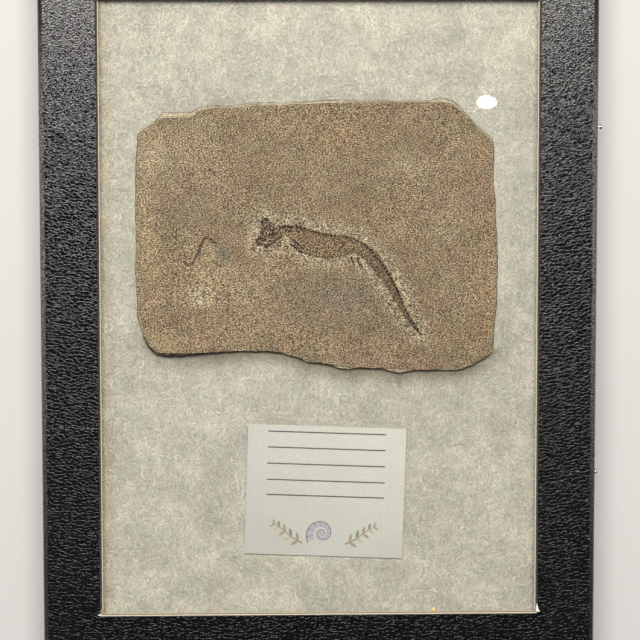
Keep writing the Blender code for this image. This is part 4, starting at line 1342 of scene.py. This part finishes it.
# Loose fibres: thin ribbons that wander over the pad, mostly along the case.
def makeFibres(name, seed, material, pocket, low, high):
    rng = np.random.default_rng(seed)
    count, steps = batting["fibreCount"], batting["fibrePoints"]
    start = rng.uniform((low[0] + 1, low[1] + 1), (high[0] - 1, high[1] - 1), (count, 2))
    length = rng.uniform(*batting["fibreLength"], count)
    heading = math.pi / 2 + rng.normal(0, 0.8, count) + 0.9 * noiseAt(start, 0.06, 20.0 + seed)
    bend = rng.normal(0, 0.22, count)
    paths = np.zeros((count, steps, 2))
    headings = np.zeros((count, steps))
    paths[:, 0] = start
    headings[:, 0] = heading
    for i in range(1, steps):
        heading = heading + bend + rng.normal(0, 0.2, count)
        headings[:, i] = heading
        reach = (length / (steps - 1))[:, None]
        paths[:, i] = paths[:, i - 1] + reach * np.column_stack([np.cos(heading), np.sin(heading)])
    flat = paths.reshape(-1, 2)
    height, fromSlab, shade = padHeight(flat, pocket, low, high)
    clear = (fromSlab > -0.1) & (cardDistance(flat) > 0.25) & (wallDistance(flat, low, high) > 0.8)
    kept = clear.reshape(count, steps).all(1)
    lift = rng.uniform(0.02, 0.3, count)[:, None] + 0.1 * rng.normal(0, 1, (count, steps)).cumsum(1) / steps
    z = np.minimum(height.reshape(count, steps) + np.maximum(lift, 0.01), batting["fibreTop"])
    paths, headings, z = paths[kept], headings[kept], z[kept]
    width = rng.uniform(*batting["fibreWidth"], len(paths))[:, None] / 2
    width = width * np.sin(np.linspace(0.12, math.pi - 0.12, steps)) ** 0.5
    across = np.stack([-np.sin(headings), np.cos(headings)], -1) * width[..., None]
    tilt = rng.uniform(-0.5, 0.5, len(paths))[:, None] * width
    left = np.concatenate([paths + across, (z + tilt)[..., None]], -1)
    right = np.concatenate([paths - across, (z - tilt)[..., None]], -1)
    points = np.stack([left, right], 2).reshape(-1, 3)
    first = (np.arange(len(paths))[:, None] * steps + np.arange(steps - 1)).ravel() * 2
    faces = np.column_stack([first, first + 1, first + 3, first + 2])
    fibres = addMesh(name, points * mm, faces)
    mesh = fibres.data
    mesh.validate()
    writeAttribute(mesh, "tone", np.repeat(rng.uniform(0, 1, len(paths)), steps * 2))
    writeAttribute(mesh, "shade", np.repeat(shade.reshape(count, steps)[kept].ravel(), 2))
    mesh.materials.append(material)
    mesh.shade_smooth()
    return finishPiece(fibres)


def makeStreakGroup():
    tree, given, out = newGroup("fibreStreaks", {"Place": "Vector"}, {"Streaks": "Float", "Clouds": "Float"})
    layers = []
    for turn, stretch in ((0.3, 0.9), (-0.5, 1.1), (1.2, 1.0)):
        turned = addNode(tree, "ShaderNodeVectorRotate", {"Vector": given["Place"], "Angle": turn},
                         rotation_type="Z_AXIS").outputs[0]
        vector = scaleVector(tree, turned, (3.2 * stretch, 0.8, 1.0))
        layers.append(addNoise(tree, vector, 1.0, 2, 0.6, 1.0))
    mixed = doMath(tree, "MAXIMUM", layers[0], doMath(tree, "MAXIMUM", layers[1], layers[2]))
    clouds = addNoise(tree, given["Place"], 0.13, 4, 0.62)
    tree.links.new(remap(tree, mixed, 0.5, 0.68), out["Streaks"])
    tree.links.new(remap(tree, clouds, 0.34, 0.66), out["Clouds"])
    return tree


# Uneven tint of the pad and its fibres: greener and pinker clouds, fine specks, tan at the left, painted
# light towards the top, and painted shadow below the slab
def makeTintGroup():
    tree, given, out = newGroup("padTint", {"Place": "Vector", "Shade": "Float"}, {"Tint": "Color"})
    place, plain = given["Place"], (1.0, 1.0, 1.0)
    parts = splitAxes(tree, place)
    clouds = addNoise(tree, place, 0.15, 3, 0.6)
    patches = addNoise(tree, place, 0.1, 4, 0.6)
    specks = addNoise(tree, place, 1.8, 1, 0.6)
    tan = (remap(tree, parts["X"], -57.5, -61.5), remap(tree, clouds, 0.35, 0.55, 0.4, 1.0))
    tint = mixColour(tree, remap(tree, clouds, 0.4, 0.6), (0.955, 0.96, 0.93), (1.0, 0.97, 0.955))
    tint = tinted(tree, tint, remap(tree, patches, 0.35, 0.65, 0.88, 1.08, False))
    tint = tinted(tree, tint, remap(tree, specks, 0.3, 0.7, 0.89, 1.11, False))
    # Painted light: brighter towards the top of the case
    tint = tinted(tree, tint, remap(tree, parts["Y"], 35, 75, 0.99, 1.08))
    tint = tinted(tree, tint, cover(tree, plain, (0.93, 0.87, 0.78), *tan))
    # Painted shadow below the slab, as strong as the shade attribute says
    tint = tinted(tree, tint, cover(tree, plain, (0.42, 0.38, 0.33), given["Shade"]))
    tree.links.new(tint, out["Tint"])
    return tree


def makeBattingMaterial(streaks, tints):
    material, tree, shader = newMaterial("cream_batting", 0.95)
    place = placeInMm(tree)
    made = addGroup(tree, streaks, {"Place": place})
    tint = addGroup(tree, tints, {"Place": place, "Shade": readField(tree, "shade")})["Tint"]
    colour = mixColour(tree, made["Clouds"], (0.49, 0.47, 0.395), (0.57, 0.54, 0.465))
    colour = cover(tree, colour, (0.88, 0.84, 0.765), made["Streaks"], 0.75)
    shader.inputs["Sheen Weight"].default_value = 0.15
    setSurface(shader, tinted(tree, colour, tint), None, (made["Streaks"], 0.5, 0.3))
    return material


def makeFibreMaterial(tints):
    material, tree, shader = newMaterial("cream_fibre", 0.75)
    tint = addGroup(tree, tints, {"Place": placeInMm(tree), "Shade": readField(tree, "shade")})["Tint"]
    colour = mixColour(tree, readField(tree, "tone"), (0.43, 0.405, 0.335), (0.97, 0.93, 0.855))
    setSurface(shader, tinted(tree, colour, tint))
    return material


# Label card: ruled lines to write on, and a small printed shell between two sprigs

def makeCardMaterial():
    material, tree, shader = newMaterial("white_card", 0.7)
    place = placeInMm(tree)
    pulp = addNoise(tree, place, 1.2, 4, 0.65)
    clouds = addNoise(tree, place, 0.08, 2)
    colour = mixColour(tree, remap(tree, pulp, 0.3, 0.7), (0.6, 0.585, 0.53), (0.655, 0.64, 0.585))
    colour = cover(tree, colour, (0.575, 0.55, 0.49), remap(tree, clouds, 0.4, 0.7, 0.0, 0.35))
    setSurface(shader, colour, None, (pulp, 0.25, 0.05))
    return material


def makeCard(paper):
    x, y = card["middle"]
    half = (card["width"] / 2, card["length"] / 2)
    piece = addBox("label_paper", (-half[0], -half[1], card["top"] - card["thickness"]),
                   (*half, card["top"]))
    editPiece(piece, "EDGE")
    pickEdges(piece, lambda a, b: abs(a.z - b.z) > 0.1)
    roundEdges(card["cornerRound"], 3)
    pickEdges(piece, lambda a, b: abs(a.z - b.z) < 0.01)
    roundEdges(card["edgeRound"], 2)
    leaveEdit()
    piece.rotation_euler.z = math.radians(card["turn"])
    piece.location = (x * mm, y * mm, 0)
    bpy.ops.object.transform_apply()
    piece.data.materials.append(paper)
    smoothPiece(piece, 40)
    return finishPiece(piece, "label_card")


# Print on the card, in the card's own plane: places and sizes from the card's middle
cardPrint = {
    "lift": 0.02,
    "rules": [17.0, 12.4, 7.7, 3.0, -1.4],
    "ruleHalf": 17.0,
    "ruleWidth": 0.36,
    "shell": (-0.6, -12.2),
    "shellTurns": 2.6,
    "shellSize": 4.9,
    "stem": [(6.2, -15.2), (9.0, -13.8), (12.0, -11.4), (15.2, -9.6)],
    "leaves": [
        (7.4, -14.6, 2.6), (9.4, -13.4, 2.5), (11.2, -12.0, 2.3), (12.9, -10.8, 2.0), (14.4, -10.0, 1.6),
    ],
    "inks": {
        "black": (0.035, 0.032, 0.034), "lilac": (0.3, 0.24, 0.33), "lilacPale": (0.47, 0.42, 0.5),
        "olive": (0.2, 0.205, 0.15), "yellow": (0.58, 0.5, 0.27), "tan": (0.4, 0.29, 0.19),
    },
}


def addStroke(shapes, points, widths, ink):
    line = np.array(points, float)
    ahead = np.gradient(line, axis=0)
    ahead /= np.hypot(*ahead.T)[:, None]
    across = np.column_stack([-ahead[:, 1], ahead[:, 0]]) * (np.asarray(widths) / 2)[:, None]
    for i in range(len(line) - 1):
        shapes.append(([line[i] + across[i], line[i] - across[i], line[i + 1] - across[i + 1],
                        line[i + 1] + across[i + 1]], ink))


def addLeaf(shapes, x, y, length, heading, ink, vein):
    share = np.linspace(0, 1, 9)
    spine = np.column_stack([x + share * length * math.cos(heading), y + share * length * math.sin(heading)])
    addStroke(shapes, spine, 0.02 + 0.34 * length * np.sin(share * math.pi) ** 0.8, ink)
    addStroke(shapes, spine, 0.1 * (1.1 - share), vein)


def makeCardPrint(ink):
    shapes = []
    half = cardPrint["ruleHalf"]
    for y in cardPrint["rules"]:
        addStroke(shapes, [(-half, y), (half, y)], [cardPrint["ruleWidth"]] * 2, "black")
    turns = np.linspace(0, cardPrint["shellTurns"] * 2 * math.pi, 90)
    radius = cardPrint["shellSize"] * np.exp((turns - turns[-1]) * 0.17)
    x, y = cardPrint["shell"]
    band = np.column_stack([x + 0.76 * radius * np.cos(turns), y + 0.76 * radius * np.sin(turns)])
    rim = np.column_stack([x + radius * np.cos(turns), y + radius * np.sin(turns)])
    addStroke(shapes, band, 0.46 * radius, "lilacPale")
    for i in range(6, 90, 3):
        inner = np.array((x, y)) + (rim[i] - (x, y)) * 0.58
        addStroke(shapes, [inner, rim[i]], [0.04 * radius[i] + 0.05, 0.1 * radius[i] + 0.05],
                  "lilac" if i % 2 else "tan")
    addStroke(shapes, rim, 0.08 + 0.03 * radius, "black")
    for side in (1, -1):
        stem = curveThrough([(side * px, py) for px, py in cardPrint["stem"]], 5)
        addStroke(shapes, stem, np.linspace(0.42, 0.16, len(stem)), "olive")
        for k, (px, py, length) in enumerate(cardPrint["leaves"]):
            for lean, tone in ((1.35, "olive"), (-0.55, "yellow")):
                heading = lean if side > 0 else math.pi - lean
                addLeaf(shapes, side * px, py, length, heading, tone if k % 2 else "tan", "olive")
    turn = math.radians(card["turn"])
    x, y = card["middle"]
    points, faces, tones = [], [], []
    for level, (corners, tone) in enumerate(shapes):
        z = card["top"] + cardPrint["lift"] * (0.4 + 0.6 * level / len(shapes))
        faces.append(range(len(points), len(points) + len(corners)))
        for u, v in corners:
            points.append((x + u * math.cos(turn) - v * math.sin(turn),
                           y + u * math.sin(turn) + v * math.cos(turn), z))
            tones.append((*cardPrint["inks"][tone], 1.0))
    piece = addMesh("card_print", np.array(points) * mm, faces)
    inked = piece.data.attributes.new("ink", "FLOAT_COLOR", "POINT")
    inked.data.foreach_set("color", np.array(tones).ravel())
    selectOnly(piece, "polygons", [face.normal.z < 0 for face in piece.data.polygons])
    bpy.ops.mesh.flip_normals()
    leaveEdit()
    piece.data.materials.append(ink)
    return finishPiece(piece)


def makeInkMaterial():
    material, tree, shader = newMaterial("printed_ink", 0.6)
    worn = addNoise(tree, placeInMm(tree), 3.5, 3, 0.7)
    ink = readField(tree, "ink", "Color")
    setSurface(shader, cover(tree, ink, (0.52, 0.5, 0.46), remap(tree, worn, 0.45, 0.75, 0.0, 0.45)))
    return material


# Crumb of dried glue at the lower edge of the window

flake = {"place": (33.2, -87.0, 17.66), "size": (0.66, 0.62, 0.17)}


def makeFlake():
    deselectAll()
    bpy.ops.mesh.primitive_ico_sphere_add(subdivisions=3, radius=mm, location=(0, 0, 0))
    piece = bpy.context.object
    piece.name = "glue_crumb"
    for vertex in piece.data.vertices:
        at = vertex.co / mm
        grown = at * (1 + 0.45 * noise.noise(at * 1.3) + 0.15 * noise.noise(at * 4))
        vertex.co = Vector(c * s + p for c, s, p in zip(grown, flake["size"], flake["place"])) * mm
    material, tree, shader = newMaterial("yellow_crumb", 0.6)
    blotches = addNoise(tree, placeInMm(tree), 2.2, 2)
    blotches = remap(tree, blotches, 0.4, 0.6)
    setSurface(shader, mixColour(tree, blotches, (0.62, 0.36, 0.06), (0.82, 0.76, 0.42)))
    piece.data.materials.append(material)
    smoothPiece(piece, 60)
    return finishPiece(piece)


makeCamera()
makeStage()
print("camera and light made")
wrinkles = makeWrinkleGroup()
leatherette = makePaperMaterial(wrinkles)
cutBoard = makeBoardMaterial()
makeLid(leatherette, cutBoard)
makeTray(leatherette)
nodes["glass"].data.materials.clear()
nodes["glass"].data.materials.append(makeGlassMaterial())
steel = makeSteelMaterial()
for pinName, (side, y, standOff) in pins["places"].items():
    makePin(pinName, side, y, standOff, steel)
print("case, glass and pins made")
grainGroup = makeGrainGroup()
slabPiece, slabRim = makeSlab(makeStoneMaterial(grainGroup))
print("slab made:", len(slabPiece.data.polygons), "faces")
streakGroup = makeStreakGroup()
tintGroup = makeTintGroup()
pocket, padLow, padHigh = makeBatting(makeBattingMaterial(streakGroup, tintGroup), slabRim)
fibreMaterial = makeFibreMaterial(tintGroup)
for layer in range(batting["fibreLayers"]):
    made = makeFibres("batting_fibres_" + str(layer + 1), 31 + layer, fibreMaterial, pocket, padLow, padHigh)
    print("fibres made:", len(made.data.polygons), "faces")
makeCard(makeCardMaterial())
makeCardPrint(makeInkMaterial())
makeFlake()
print("card made")
